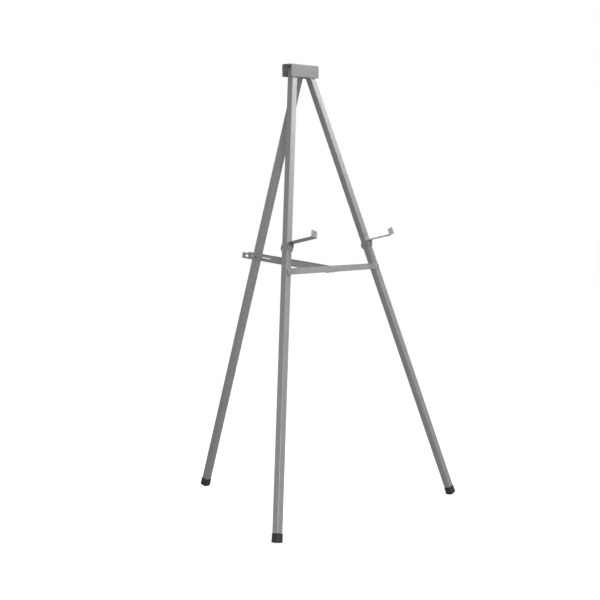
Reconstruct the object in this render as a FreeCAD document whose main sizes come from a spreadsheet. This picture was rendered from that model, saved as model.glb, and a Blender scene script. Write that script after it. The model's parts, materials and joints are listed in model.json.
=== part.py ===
"""Folding tripod easel: square-tube legs, slotted folding brace and two board hooks.

Millimetres. X runs to the right of someone facing the easel, -Y is the side the board
hangs on, and Z is up from the floor. The origin is the middle of the footprint.
"""
import FreeCAD, Part
import math
import os
import Sketcher

V = FreeCAD.Vector
X_AXIS = V(1, 0, 0)
Y_AXIS = V(0, 1, 0)
LEFT = -1
RIGHT = 1
SIDES = ((LEFT, "left"), (RIGHT, "right"))

# The driving sizes: name, millimetres, what it is.
DRIVING = (
    ("pivot_height", 1576.0, "floor to the front leg pivots"),
    ("pivot_forward", 2.1, "front leg pivots, in front of the head's middle"),
    ("foot_half_spread", 498.9, "half the spread of the front legs at the floor"),
    ("front_reach", 328.8, "front legs at the floor, in front of the head's middle"),
    ("rear_pivot_drop", 4.0, "rear leg pivot, below the front pivots"),
    ("rear_pivot_back", 4.3, "rear leg pivot, behind the head's middle"),
    ("rear_reach", 491.6, "rear leg at the floor, behind the head's middle"),
    ("tube_side", 25.4, "square leg tube, outside"),
    ("tube_wall", 1.5, "leg tube wall"),
    ("tube_corner", 3.0, "leg tube corner radius, outside"),
    ("leg_stub", 14.0, "leg tube above its pivot"),
    ("closed_half_gap", 30.7, "half the space between the closed front legs"),
    ("head_length", 150.0, "head channel length"),
    ("head_height", 45.0, "head channel height"),
    ("head_above_pivot", 25.0, "head channel top, above the front pivots"),
    ("head_front_room", 11.3, "head channel front, beyond the leg tube"),
    ("head_back_gap", 0.2, "between the leg brackets and the channel's inside bend"),
    ("head_bend", 0.4, "head channel inside bend radius"),
    ("sheet", 2.0, "thickness of the pressed steel sheet"),
    ("notch_room", 4.3, "notch in the head beside the rear leg, each side"),
    ("notch_height", 29.0, "notch in the head's back flange"),
    ("bracket_half_width", 19.5, "half the width of a leg bracket's flange"),
    ("lobe_half_width", 9.0, "half the width of a leg bracket's lobe"),
    ("bracket_drop", 11.0, "leg bracket below the pivot"),
    ("bracket_front", 14.0, "leg bracket flange, in front of the pivot"),
    ("rivet_pitch", 22.0, "between the two rivets of a leg bracket"),
    ("clevis_room", 0.5, "between the rear leg and each clevis ear"),
    ("clevis_half_width", 10.0, "half the clevis ear, front to back"),
    ("clevis_rivet_pitch", 11.0, "between the two clevis rivets"),
    ("face_gap", 0.3, "air between faces that move past each other"),
    ("shank_radius", 3.0, "pivot rivets, brace pins and M6 bolts"),
    ("running_fit", 0.06, "radial clearance of a turning joint"),
    ("seat_fit", 0.02, "radial clearance of a fixed joint"),
    ("rivet_head_radius", 4.5, "round rivet head"),
    ("rivet_head_height", 1.8, "round rivet head"),
    ("rivet_tail_radius", 4.2, "set end of a rivet"),
    ("rivet_tail_height", 1.6, "set end of a rivet"),
    ("small_rivet_radius", 2.0, "shank of a head rivet"),
    ("small_head_radius", 3.6, "head of a head rivet"),
    ("small_head_height", 1.4, "head of a head rivet"),
    ("small_tail_radius", 3.06, "set end of a head rivet"),
    ("washer_radius", 6.4, "M6 washer"),
    ("washer_sheet", 1.0, "M6 washer thickness"),
    ("hex_flats", 10.0, "M6 hexagon across its flats"),
    ("hex_head", 4.0, "M6 bolt head height"),
    ("hex_nut", 5.0, "M6 nut height"),
    ("bolt_end", 1.2, "bolt end beyond its nut"),
    ("link_distance", 748.8, "front pivot to the brace link, along the leg"),
    ("link_width", 22.2, "brace link and brace strip width"),
    ("link_tail", 24.0, "left link beyond the knee"),
    ("right_link_tail", 58.0, "right link beyond the knee"),
    ("link_corner", 3.0, "corner radius of a square link end"),
    ("link_lift", 0.4, "between the leg and the right link, and between the links"),
    ("tab_start", 30.0, "stop tab, from the knee"),
    ("tab_length", 22.0, "stop tab, along the link"),
    ("tab_gap", 0.4, "stop tab, below the left link"),
    ("tab_reach", 4.6, "stop tab, in front of the right link"),
    ("insert_radius", 4.4, "threaded insert in a front leg"),
    ("insert_length", 9.0, "threaded insert"),
    ("insert_bulge", 1.2, "insert collar behind the tube wall, beyond its barrel"),
    ("insert_bore", 2.6, "threaded insert bore"),
    ("ear_room", 0.2, "between the rear leg and each knee clip ear"),
    ("clip_height", 22.0, "knee clip height"),
    ("clip_pin_back", 5.5, "knee clip pin, behind the front leg axes"),
    ("clip_ear_radius", 7.0, "knee clip ear round its pin"),
    ("bolt_distance", 699.3, "rear pivot to the brace bolt, along the leg"),
    ("slot_radius", 3.75, "half the height of the strip slot"),
    ("slot_spare_front", 15.0, "slot in front of the bolt when folded"),
    ("slot_spare_back", 42.0, "slot behind the bolt when open"),
    ("strip_end", 15.0, "strip beyond the end of its slot"),
    ("rear_fold_spare", 1.1, "degrees the closed rear leg stands off the front legs"),
    ("hook_distance", 662.2, "front pivot to the board hook, along the leg"),
    ("saddle_sheet", 1.5, "hook sheet thickness"),
    ("saddle_overlap", 4.0, "hook saddle ear beyond the tube"),
    ("saddle_web_rise", 8.0, "degrees the saddle web goes round above its rivet"),
    ("saddle_web_gap", 0.3, "between the saddle web's foot and the leg"),
    ("hook_rivet_radius", 2.4, "rivet through the hook saddle"),
    ("hook_pin_radius", 1.6, "hook hinge pin"),
    ("hook_pin_lift", 11.8, "hook hinge pin above the saddle rivet"),
    ("hook_pin_room", 0.1, "between the hook pin and the arm bent over it"),
    ("heel_room", 0.4, "between the leg and the arm's heel"),
    ("knuckle_sink", 0.05, "arm knuckle, into the arm's bend"),
    ("lobe_radius", 4.2, "saddle ear round the hook pin"),
    ("arm_overhang", 1.1, "board hook arm beyond the tube, each side"),
    ("arm_length", 111.0, "board hook arm, beyond its pin"),
    ("arm_root_gap", 2.0, "between the saddle ear and the wide part of the hook arm"),
    ("lip_height", 25.0, "board hook lip, above the arm"),
    ("lip_bend", 1.5, "board hook lip inside bend radius"),
    ("heel_drop", 6.8, "arm heel below the pin"),
    ("tip_wall", 1.55, "rubber tip wall"),
    ("tip_fit", 0.05, "between the rubber tip and the tube"),
    ("tip_height", 29.5, "rubber tip"),
    ("tip_floor", 6.0, "rubber under the tube's end"),
    ("tip_corner", 4.5, "rubber tip corner radius"),
    ("tip_edge", 2.5, "rubber tip bottom edge radius"),
    ("tip_lift", 3.2, "middle of the rubber tip above the floor, along the leg"),
    ("floor_block", 60.0, "block that trims the rubber tips flat"),
)

# How far a cut starts outside the metal.
OVERCUT = 1.0
# The heads of the hook's rivet and pin, from the radius of the shank.
HOOK_HEAD_RADII = 1.7
HOOK_HEAD_HEIGHTS = 0.6
# The set end of the same rivet and pin, from the radius of the head.
HOOK_TAIL_RADII = 0.8
# How near an edge must lie to a height to belong to it.
SAME_HEIGHT = 0.01

doc = FreeCAD.newDocument("Easel")
pieces = []


class Size:
    """A length that keeps the expression which ties it to the sheets."""

    def __init__(self, value, text):
        self.value = value
        self.text = text

    def __add__(self, other):
        other = as_size(other)
        return Size(self.value + other.value, f"({self.text} + {other.text})")

    def __sub__(self, other):
        other = as_size(other)
        return Size(self.value - other.value, f"({self.text} - {other.text})")

    def __mul__(self, other):
        other = as_size(other)
        return Size(self.value * other.value, f"({self.text} * {other.text})")

    def __truediv__(self, other):
        other = as_size(other)
        return Size(self.value / other.value, f"({self.text} / {other.text})")

    def __neg__(self):
        return Size(-self.value, f"(-{self.text})")


def as_size(number):
    """A plain number as a Size."""
    if isinstance(number, Size):
        return number
    return Size(float(number), f"({float(number)!r})")


class Sheet:
    """A spreadsheet whose aliased cells are read as Size attributes."""

    def __init__(self, name):
        self.cells = doc.addObject("Spreadsheet::Sheet", name)
        self.name = name
        self.row = 0

    def put(self, alias, number, meaning):
        """Write one cell and keep its Size."""
        self.row += 1
        self.cells.set(f"A{self.row}", alias)
        self.cells.set(f"B{self.row}", repr(float(number)))
        self.cells.setAlias(f"B{self.row}", alias)
        self.cells.set(f"C{self.row}", meaning)
        doc.recompute()
        size = Size(float(self.cells.get(alias)), f"{self.name}.{alias}")
        setattr(self, alias, size)


dims = Sheet("Dims")
for alias, number, meaning in DRIVING:
    dims.put(alias, number, meaning)
worked = Sheet("Worked")


def number(name):
    """The plain value of a driving or a worked size."""
    home = dims if hasattr(dims, name) else worked
    return getattr(home, name).value


# ---- Sizes worked out from the driving ones ------------------------------------------

half_tube = dims.tube_side / 2
half_tube_mm = half_tube.value
worked.put("pivot_half_gap", half_tube_mm + number("closed_half_gap"), "front pivot from the middle")
front_run = number("front_reach") - number("pivot_forward")
plane_drop = math.hypot(front_run, number("pivot_height"))
side_run = number("foot_half_spread") - number("pivot_half_gap")
lean = math.atan2(front_run, number("pivot_height"))
spread = math.atan2(side_run, plane_drop)
worked.put("lean_cos", math.cos(lean), "front legs' lean, cosine")
worked.put("lean_sin", math.sin(lean), "front legs' lean, sine")
worked.put("leg_run", math.hypot(side_run, plane_drop), "front pivot to the floor")

rear_height = number("pivot_height") - number("rear_pivot_drop")
rear_run = number("rear_reach") - number("rear_pivot_back")
rear_angle = math.atan2(rear_run, rear_height)
worked.put("rear_run_length", math.hypot(rear_run, rear_height), "rear pivot to the floor")

# The brace: the knee moves straight down the plane of the front legs.
link_span = number("pivot_half_gap") + number("link_distance") * math.sin(spread)
knee_drop = number("link_distance") * math.cos(spread)
closed_rise = math.sqrt(link_span**2 - number("pivot_half_gap")**2)
knee_travel = number("link_distance") + closed_rise - knee_drop
link_turn = math.atan2(closed_rise, number("pivot_half_gap"))
worked.put("link_span", link_span, "knee to the end of each link")
rear_turn = rear_angle + lean - math.radians(number("rear_fold_spare"))


def knee_pin(drop):
    """Where the clip pin is, back and up, once the knee is this far below the pivots."""
    back = number("clip_pin_back")
    y = -number("pivot_forward") - drop * math.sin(lean) + back * math.cos(lean)
    z = number("pivot_height") - drop * math.cos(lean) - back * math.sin(lean)
    return y, z


def rear_bolt(angle):
    """Where the brace bolt is, back and up, with the rear leg at this angle."""
    y = number("rear_pivot_back") + number("bolt_distance") * math.sin(angle)
    z = rear_height - number("bolt_distance") * math.cos(angle)
    return y, z


def strip_line(drop, angle):
    """Length and slope of the strips between the clip pin and the brace bolt."""
    pin_y, pin_z = knee_pin(drop)
    bolt_y, bolt_z = rear_bolt(angle)
    run = bolt_y - pin_y
    rise = bolt_z - pin_z
    return math.hypot(run, rise), math.atan2(rise, run)


strip_open, strip_slope = strip_line(knee_drop, rear_angle)
strip_closed, closed_slope = strip_line(knee_drop + knee_travel, rear_angle - rear_turn)
worked.put("strip_open", strip_open, "clip pin to brace bolt, open")
worked.put("strip_closed", strip_closed, "clip pin to brace bolt, folded")

# How far the footprint reaches, front and back, from the head's middle.
tip_half_mm = half_tube_mm + number("tip_fit") + number("tip_wall")
front_foot = number("front_reach") + tip_half_mm / math.cos(lean)
back_foot = number("rear_reach") + tip_half_mm / math.cos(rear_angle)
footprint_middle = (back_foot - front_foot) / 2

# ---- Where each piece stands ---------------------------------------------------------


def turned_about(axis, angle):
    """A placement that only turns, by an angle in radians."""
    return FreeCAD.Placement(V(0, 0, 0), FreeCAD.Rotation(axis, math.degrees(angle)))


def moved(x, y, z):
    """A placement that only moves."""
    return FreeCAD.Placement(V(x, y, z), FreeCAD.Rotation())


head_place = moved(0, -footprint_middle, number("pivot_height"))
front_plane = head_place * moved(0, -number("pivot_forward"), 0) * turned_about(X_AXIS, -lean)
rear_pivot = head_place * moved(0, number("rear_pivot_back"), -number("rear_pivot_drop"))
rear_place = rear_pivot * turned_about(X_AXIS, rear_angle)
knee_place = front_plane * moved(0, 0, -knee_drop)
strip_place = (
    knee_place * moved(0, number("clip_pin_back"), 0) * turned_about(X_AXIS, lean)
    * turned_about(X_AXIS, strip_slope)
)
FACING_FRONT = turned_about(X_AXIS, math.pi / 2)
FACING_RIGHT = turned_about(Y_AXIS, math.pi / 2)


def leg_place(side):
    """A front leg's own frame: its pivot, with Z up along the tube and -Y its front."""
    return (
        front_plane * moved(side * number("pivot_half_gap"), 0, 0)
        * turned_about(Y_AXIS, -side * spread)
    )


# ---- How a piece is made -------------------------------------------------------------


def new_body(name, place):
    """An empty body with its own label and placement."""
    body = doc.addObject("PartDesign::Body", name)
    body.Label = name
    body.Placement = place
    return body


def keep(piece):
    """List a finished piece for export."""
    pieces.append(piece)
    return piece


def pin_point(sketch, index, end, x, y):
    """Tie one point of the sketch to the sheets."""
    for kind, size in (("DistanceX", x), ("DistanceY", y)):
        at = sketch.addConstraint(Sketcher.Constraint(kind, index, end, size.value))
        sketch.setExpression(f"Constraints[{at}]", size.text)


def add_arc(sketch, start, end, centre):
    """An arc between two corners; returns its index and which end comes first."""
    a = (start[0].value - centre[0].value, start[1].value - centre[1].value)
    b = (end[0].value - centre[0].value, end[1].value - centre[1].value)
    hollow = a[0] * b[1] - a[1] * b[0] < -1e-9
    if hollow:
        a, b = b, a
    circle = Part.Circle(V(centre[0].value, centre[1].value, 0), V(0, 0, 1), math.hypot(*a))
    first = math.atan2(a[1], a[0])
    last = math.atan2(b[1], b[0])
    index = sketch.addGeometry(Part.ArcOfCircle(circle, first, last))
    upright = abs(a[1] - b[1]) > abs(a[0] - b[0])
    kind, size = ("DistanceX", centre[0]) if upright else ("DistanceY", centre[1])
    at = sketch.addConstraint(Sketcher.Constraint(kind, index, 3, size.value))
    sketch.setExpression(f"Constraints[{at}]", size.text)
    return index, hollow


def add_loop(sketch, corners):
    """A closed outline, anticlockwise. A corner is (x, y), or (x, y, (cx, cy)) where an
    arc about (cx, cy) leaves it instead of a line."""
    corners = [tuple(as_size(c) for c in corner[:2]) + tuple(corner[2:]) for corner in corners]
    ends = []
    for here, there in zip(corners, corners[1:] + corners[:1]):
        if len(here) == 3:
            centre = tuple(as_size(c) for c in here[2])
            index, hollow = add_arc(sketch, here, there, centre)
            ends.append((index, 2, 1) if hollow else (index, 1, 2))
        else:
            start = V(here[0].value, here[1].value, 0)
            stop = V(there[0].value, there[1].value, 0)
            ends.append((sketch.addGeometry(Part.LineSegment(start, stop)), 1, 2))
    for corner, here, before in zip(corners, ends, ends[-1:] + ends[:-1]):
        sketch.addConstraint(Sketcher.Constraint("Coincident", before[0], before[2], here[0], here[1]))
        pin_point(sketch, here[0], here[1], corner[0], corner[1])


def add_hole(sketch, hole):
    """A round hole (x, y, radius)."""
    x, y, radius = (as_size(part) for part in hole)
    circle = Part.Circle(V(x.value, y.value, 0), V(0, 0, 1), radius.value)
    index = sketch.addGeometry(circle)
    pin_point(sketch, index, 3, x, y)
    at = sketch.addConstraint(Sketcher.Constraint("Radius", index, radius.value))
    sketch.setExpression(f"Constraints[{at}]", radius.text)


def new_sketch(body, plane, start, loops, holes=(), tilt=0.0):
    """A sketch on one of the body's own planes, moved out by start and tilted about its x."""
    sketch = body.newObject("Sketcher::SketchObject", "Sketch")
    support = [f for f in body.Origin.OriginFeatures if f.Role == plane + "_Plane"]
    sketch.AttachmentSupport = [(support[0], "")]
    sketch.MapMode = "FlatFace"
    sketch.AttachmentOffset = turned_about(X_AXIS, tilt)
    sketch.setExpression("AttachmentOffset.Base.y", (-as_size(start) * math.sin(tilt)).text)
    sketch.setExpression("AttachmentOffset.Base.z", (as_size(start) * math.cos(tilt)).text)
    for loop in loops:
        add_loop(sketch, loop)
    for hole in holes:
        add_hole(sketch, hole)
    doc.recompute()
    if sketch.solve() != 0 or not sketch.FullyConstrained:
        raise ValueError(f"{body.Label}: a sketch is not fully constrained")
    return sketch


def pad(body, plane, start, length, loops, holes=()):
    """Add material from start, for length, along the plane's normal."""
    feature = body.newObject("PartDesign::Pad", "Pad")
    feature.Profile = new_sketch(body, plane, start, loops, holes)
    feature.setExpression("Length", as_size(length).text)
    doc.recompute()
    return feature


def pocket(body, plane, start, length, loops=(), holes=(), tilt=0.0):
    """Cut from start, for length, along the plane's normal, and make sure that it cuts."""
    before = body.Shape.Volume
    feature = body.newObject("PartDesign::Pocket", "Pocket")
    feature.Profile = new_sketch(body, plane, start, loops, holes, tilt)
    feature.Reversed = True
    feature.setExpression("Length", as_size(length).text)
    doc.recompute()
    if body.Shape.Volume >= before:
        raise ValueError(f"{body.Label}: a pocket cuts nothing")
    return feature


def turned(name, place, outline):
    """A body of revolution about its own Z, from (radius, height) corners."""
    body = new_body(name, place)
    sketch = new_sketch(body, "XZ", 0, [outline])
    feature = body.newObject("PartDesign::Revolution", "Revolution")
    feature.Profile = sketch
    feature.ReferenceAxis = (sketch, ["V_Axis"])
    feature.Angle = 360
    doc.recompute()
    return body


def box_loop(x0, x1, y0, y1):
    """A plain rectangle."""
    return [(x0, y0), (x1, y0), (x1, y1), (x0, y1)]


def round_loop(x0, x1, y0, y1, radius):
    """A rectangle with round corners."""
    x0, x1, y0, y1 = (as_size(edge) for edge in (x0, x1, y0, y1))
    return [
        (x0 + radius, y0), (x1 - radius, y0, (x1 - radius, y0 + radius)),
        (x1, y0 + radius), (x1, y1 - radius, (x1 - radius, y1 - radius)),
        (x1 - radius, y1), (x0 + radius, y1, (x0 + radius, y1 - radius)),
        (x0, y1 - radius), (x0, y0 + radius, (x0 + radius, y0 + radius)),
    ]


def slot_loop(x0, x1, radius):
    """A slot along x, between the centres of its two round ends."""
    return [
        (x0, -radius), (x1, -radius, (x1, 0)), (x1, radius), (x0, radius, (x0, 0)),
    ]


def hex_loop(flats):
    """A hexagon with two flats along y."""
    half = flats / 2
    slant = half / math.sqrt(3)
    return [
        (half, -slant), (half, slant), (0, slant * 2), (-half, slant), (-half, -slant),
        (0, -slant * 2),
    ]


def dome(radius, height, base):
    """The corners of a round head, from its axis at the top to its rim: a spherical cap."""
    base = as_size(base)
    ball = (radius * radius + height * height) / (height * 2)
    return (radius, base, (0, base + height - ball)), (0, base + height)


def group(name, members):
    """Several identical pieces as one node."""
    compound = doc.addObject("Part::Compound", name)
    compound.Label = name
    compound.Links = members
    doc.recompute()
    return keep(compound)


# ---- Head ----------------------------------------------------------------------------

head_front = half_tube + dims.head_front_room
head_under = dims.head_above_pivot - dims.sheet
lobe_near = half_tube + dims.face_gap
lobe_far = lobe_near + dims.sheet
lobe_far_up = (head_under + lobe_far * worked.lean_sin) / worked.lean_cos
bracket_back = lobe_far * worked.lean_cos + lobe_far_up * worked.lean_sin - dims.pivot_forward
head_back = bracket_back + dims.head_bend + dims.head_back_gap + dims.sheet
clevis_inner = half_tube + dims.clevis_room
clevis_outer = clevis_inner + dims.sheet


def make_head_channel():
    """The pressed channel that caps the three legs, open below and at its ends."""
    body = new_body("head_channel", head_place)
    top = dims.head_above_pivot
    low = top - dims.head_height
    inner = dims.head_bend
    outer = inner + dims.sheet
    front = -head_front
    back = head_back
    outline = [
        (front, low), (front + dims.sheet, low),
        (front + dims.sheet, head_under - inner, (front + outer, head_under - inner)),
        (front + outer, head_under),
        (back - outer, head_under, (back - outer, head_under - inner)),
        (back - dims.sheet, head_under - inner),
        (back - dims.sheet, low), (back, low),
        (back, top - outer, (back - outer, top - outer)),
        (back - outer, top),
        (front + outer, top, (front + outer, top - outer)),
        (front, top - outer),
    ]
    pad(body, "YZ", -dims.head_length / 2, dims.head_length, [outline])
    half = half_tube + dims.notch_room
    notch = box_loop(-half, half, low - OVERCUT, low + dims.notch_height)
    pocket(body, "XZ", -head_back - OVERCUT, dims.sheet + OVERCUT * 2, [notch])
    bore = dims.small_rivet_radius + dims.seat_fit
    holes = [(x, y, bore) for x, y in head_rivet_places()]
    pocket(body, "XY", head_under - OVERCUT, dims.sheet + OVERCUT * 2, holes=holes)
    return keep(body)


def head_rivet_places():
    """The middle of each rivet through the channel's top, from the head's middle."""
    places = []
    for side in (LEFT, RIGHT):
        for step in (-1, 1):
            places.append((worked.pivot_half_gap * side + dims.rivet_pitch / 2 * step, 0))
    for step in (-1, 1):
        places.append((0, dims.rear_pivot_back + dims.clevis_rivet_pitch / 2 * step))
    return places


def make_head_rivets():
    """Rivets that hold the two leg brackets and the clevis under the channel's top."""
    members = []
    tail = dims.small_tail_radius
    low = -dims.sheet * 2
    for count, (x, y) in enumerate(head_rivet_places()):
        place = head_place * moved(as_size(x).value, as_size(y).value, number("head_above_pivot"))
        shank = dims.small_rivet_radius
        rim, crown = dome(dims.small_head_radius, dims.small_head_height, 0)
        outline = [
            (0, low - dims.small_head_height), (tail, low - dims.small_head_height), (tail, low),
            (shank, low), (shank, 0), rim, crown,
        ]
        members.append(turned(f"head_rivet_{count + 1}", place, outline))
    group("head_rivets", members)


def make_leg_bracket(side, word):
    """An angle bracket: its flange is under the head's top, its lobe behind the leg."""
    body = new_body(f"{word}_leg_bracket", head_place * moved(0, -number("pivot_forward"), 0))
    cos = worked.lean_cos
    sin = worked.lean_sin
    foot = -dims.bracket_drop

    def on_lobe(behind, up):
        return behind * cos + up * sin, up * cos - behind * sin

    top = head_under
    under = top - dims.sheet
    near_up = (under + lobe_near * sin) / cos
    inner_corner = on_lobe(lobe_near, near_up)
    outline = [
        on_lobe(lobe_near, foot), on_lobe(lobe_far, foot), on_lobe(lobe_far, lobe_far_up),
        (-dims.bracket_front, top), (-dims.bracket_front, under), inner_corner,
    ]
    middle = worked.pivot_half_gap * side
    pad(body, "YZ", middle - dims.lobe_half_width, dims.lobe_half_width * 2, [outline])
    flange = box_loop(-dims.bracket_front, inner_corner[0], under, top)
    half = dims.bracket_half_width
    pad(body, "YZ", middle - half, half * 2, [flange])
    bore = dims.shank_radius + dims.seat_fit
    through = dims.sheet + OVERCUT * 2
    pocket(body, "XZ", -lobe_far - OVERCUT, through, holes=[(middle, 0, bore)], tilt=-lean)
    small = dims.small_rivet_radius + dims.seat_fit
    holes = []
    for step in (-1, 1):
        holes.append((middle + dims.rivet_pitch / 2 * step, dims.pivot_forward, small))
    pocket(body, "XY", under - OVERCUT, through, holes=holes)
    return keep(body)


def make_clevis():
    """The fork under the head's top that the rear leg swings in."""
    body = new_body("rear_leg_clevis", rear_pivot)
    top = head_under + dims.rear_pivot_drop
    half = dims.clevis_half_width
    small = dims.small_rivet_radius + dims.seat_fit
    holes = [(0, dims.clevis_rivet_pitch / 2 * step, small) for step in (-1, 1)]
    web = box_loop(-clevis_outer, clevis_outer, -half, half)
    pad(body, "XY", top - dims.sheet, dims.sheet, [web], holes)
    ear = [(half, 0), (half, top), (-half, top), (-half, 0, (0, 0))]
    bore = (0, 0, dims.shank_radius + dims.seat_fit)
    pad(body, "YZ", clevis_inner, dims.sheet, [ear], [bore])
    pad(body, "YZ", -clevis_outer, dims.sheet, [ear], [bore])
    return keep(body)


def make_pivot_rivet(side, word):
    """The rivet that a front leg swings on, set in its bracket, with its washer."""
    place = leg_place(side) * FACING_FRONT
    shank = dims.shank_radius
    back = -lobe_far
    washer_back = half_tube + dims.face_gap
    front = washer_back + dims.washer_sheet
    rim, crown = dome(dims.rivet_head_radius, dims.rivet_head_height, front)
    outline = [
        (0, back - dims.rivet_tail_height),
        (dims.rivet_tail_radius, back - dims.rivet_tail_height),
        (dims.rivet_tail_radius, back), (shank, back), (shank, front), rim, crown,
    ]
    keep(turned(f"{word}_pivot_rivet", place, outline))
    washer = new_body(f"{word}_pivot_washer", place)
    rim_loop = [(0, 0, dims.washer_radius), (0, 0, shank + dims.seat_fit)]
    pad(washer, "XY", washer_back, dims.washer_sheet, [], rim_loop)
    keep(washer)


def make_bolt(name, place, grip):
    """An M6 bolt across the middle of its frame: under-head to nut face is the grip."""
    body = new_body(name, place)
    shank = (0, 0, dims.shank_radius)
    below = dims.hex_nut + dims.bolt_end
    pad(body, "XY", grip, dims.hex_head, [hex_loop(dims.hex_flats)])
    pad(body, "XY", -grip - below, grip * 2 + below, [], [shank])
    return keep(body)


def make_nut(name, place, grip):
    """The nut at the far end of a bolt."""
    body = new_body(name, place)
    bore = (0, 0, dims.shank_radius + dims.seat_fit)
    pad(body, "XY", -grip - dims.hex_nut, dims.hex_nut, [hex_loop(dims.hex_flats)], [bore])
    return keep(body)


def make_rings(name, place, inner, length, radius):
    """A matched pair of washers or spacers, one each side of the middle."""
    members = []
    rings = [(0, 0, radius), (0, 0, dims.shank_radius + dims.seat_fit)]
    for word, start in (("right", inner), ("left", -inner - length)):
        body = new_body(f"{name}_{word}", place)
        pad(body, "XY", start, length, [], rings)
        members.append(body)
    group(name, members)


# ---- Legs ----------------------------------------------------------------------------


def make_tube(name, place, length):
    """A square tube from its stub above the pivot down to its end."""
    body = new_body(name, place)
    inside = half_tube - dims.tube_wall
    hollow = dims.tube_corner - dims.tube_wall
    loops = [
        round_loop(-half_tube, half_tube, -half_tube, half_tube, dims.tube_corner),
        round_loop(-inside, inside, -inside, inside, hollow),
    ]
    pad(body, "XY", -length, dims.leg_stub + length, loops)
    return body


def make_front_leg(side, word):
    """A front leg with its pivot hole, hook rivet hole and insert hole."""
    length = worked.leg_run - dims.tip_lift - dims.tip_floor
    body = make_tube(f"{word}_leg_tube", leg_place(side), length)
    bore = dims.shank_radius + dims.running_fit
    through = dims.tube_side + OVERCUT * 2
    pocket(body, "XZ", -half_tube - OVERCUT, through, holes=[(0, 0, bore)])
    insert = (0, -dims.link_distance, dims.insert_radius + dims.seat_fit)
    pocket(body, "XZ", 0, dims.tube_side, holes=[insert])
    rivet = (0, -dims.hook_distance, dims.hook_rivet_radius + dims.seat_fit)
    pocket(body, "YZ", -half_tube - OVERCUT, through, holes=[rivet])
    return keep(body)


def make_rear_leg():
    """The rear leg with its pivot hole and its brace bolt hole."""
    length = worked.rear_run_length - dims.tip_lift - dims.tip_floor
    body = make_tube("rear_leg_tube", rear_place, length)
    bore = dims.shank_radius + dims.running_fit
    holes = [(0, 0, bore), (0, -dims.bolt_distance, bore)]
    pocket(body, "YZ", -half_tube - OVERCUT, dims.tube_side + OVERCUT * 2, holes=holes)
    return keep(body)


def make_tip(name, place, run):
    """A rubber cup on the end of a leg, trimmed flat where it stands on the floor."""
    cup = new_body(f"{name}_cup", place)
    inside = half_tube + dims.tip_fit
    outside = inside + dims.tip_wall
    low = dims.tip_lift - run
    block = round_loop(-outside, outside, -outside, outside, dims.tip_corner)
    pad(cup, "XY", low, dims.tip_height, [block])
    hollow = round_loop(-inside, inside, -inside, inside, dims.tube_corner)
    bored = pocket(cup, "XY", low + dims.tip_floor, dims.tip_height, [hollow])
    edges = []
    for index, edge in enumerate(bored.Shape.Edges):
        box = edge.BoundBox
        if max(abs(box.ZMin - low.value), abs(box.ZMax - low.value)) < SAME_HEIGHT:
            edges.append(f"Edge{index + 1}")
    fillet = cup.newObject("PartDesign::Fillet", "Fillet")
    fillet.Base = (bored, edges)
    fillet.setExpression("Radius", dims.tip_edge.text)
    doc.recompute()
    floor = doc.addObject("Part::Box", f"{name}_floor")
    for side in ("Length", "Width", "Height"):
        floor.setExpression(side, dims.floor_block.text)
    at = (place * moved(0, 0, -run.value)).Base
    half = number("floor_block") / 2
    floor.Placement = moved(at.x - half, at.y - half, -2 * half)
    tip = doc.addObject("Part::Cut", name)
    tip.Label = name
    tip.Base = cup
    tip.Tool = floor
    doc.recompute()
    return keep(tip)


# ---- Board hooks ---------------------------------------------------------------------

hook_bend_inner = dims.hook_pin_radius + dims.hook_pin_room
hook_bend_outer = hook_bend_inner + dims.saddle_sheet
hook_pin_front = half_tube + dims.heel_room + hook_bend_outer
ear_radius = half_tube + dims.saddle_overlap
saddle_half = half_tube + dims.saddle_sheet


def hook_frame(side):
    """The leg's frame moved down to the hook's rivet."""
    return leg_place(side) * moved(0, 0, -number("hook_distance"))


def make_saddle(side, word):
    """The saddle riveted across the leg: two round ears joined by a curved web in front."""
    body = new_body(f"{word}_hook_saddle", hook_frame(side))
    inner = ear_radius - dims.saddle_sheet
    above = math.radians(number("saddle_web_rise"))
    below = -math.acos((half_tube + dims.saddle_web_gap).value / inner.value)

    def on_web(radius, angle):
        return -radius * math.cos(angle), radius * math.sin(angle)

    middle = (0, 0)
    web = [
        (*on_web(ear_radius, above), middle), on_web(ear_radius, below),
        (*on_web(inner, below), middle), on_web(inner, above),
    ]
    pad(body, "YZ", -saddle_half, saddle_half * 2, [web])
    bore = (0, 0, dims.hook_rivet_radius + dims.seat_fit)
    pin = (-hook_pin_front, dims.hook_pin_lift, dims.hook_pin_radius + dims.seat_fit)
    lobe = (-hook_pin_front, dims.hook_pin_lift, dims.lobe_radius)
    for start in (half_tube, -saddle_half):
        pad(body, "YZ", start, dims.saddle_sheet, [], [(0, 0, ear_radius)])
        pad(body, "YZ", start, dims.saddle_sheet, [], [lobe])
    through = saddle_half * 2 + OVERCUT * 2
    pocket(body, "YZ", -saddle_half - OVERCUT, through, holes=[bore])
    pocket(body, "YZ", -saddle_half - OVERCUT, through, holes=[pin])
    return keep(body)


def make_hook_pins(side, word):
    """The rivet that holds the saddle on the leg, and the pin that the arm turns on."""
    across = hook_frame(side) * FACING_RIGHT
    for name, shank, frame in (
        (f"{word}_hook_rivet", dims.hook_rivet_radius, across),
        (f"{word}_hook_pin", dims.hook_pin_radius,
         hook_frame(side) * moved(0, -hook_pin_front.value, number("hook_pin_lift")) * FACING_RIGHT),
    ):
        head = shank * HOOK_HEAD_RADII
        height = shank * HOOK_HEAD_HEIGHTS
        tail = head * HOOK_TAIL_RADII
        rim, crown = dome(head, height, saddle_half)
        outline = [
            (0, -saddle_half - height), (tail, -saddle_half - height),
            (tail, -saddle_half), (shank, -saddle_half), (shank, saddle_half), rim, crown,
        ]
        keep(turned(name, frame, outline))


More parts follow.
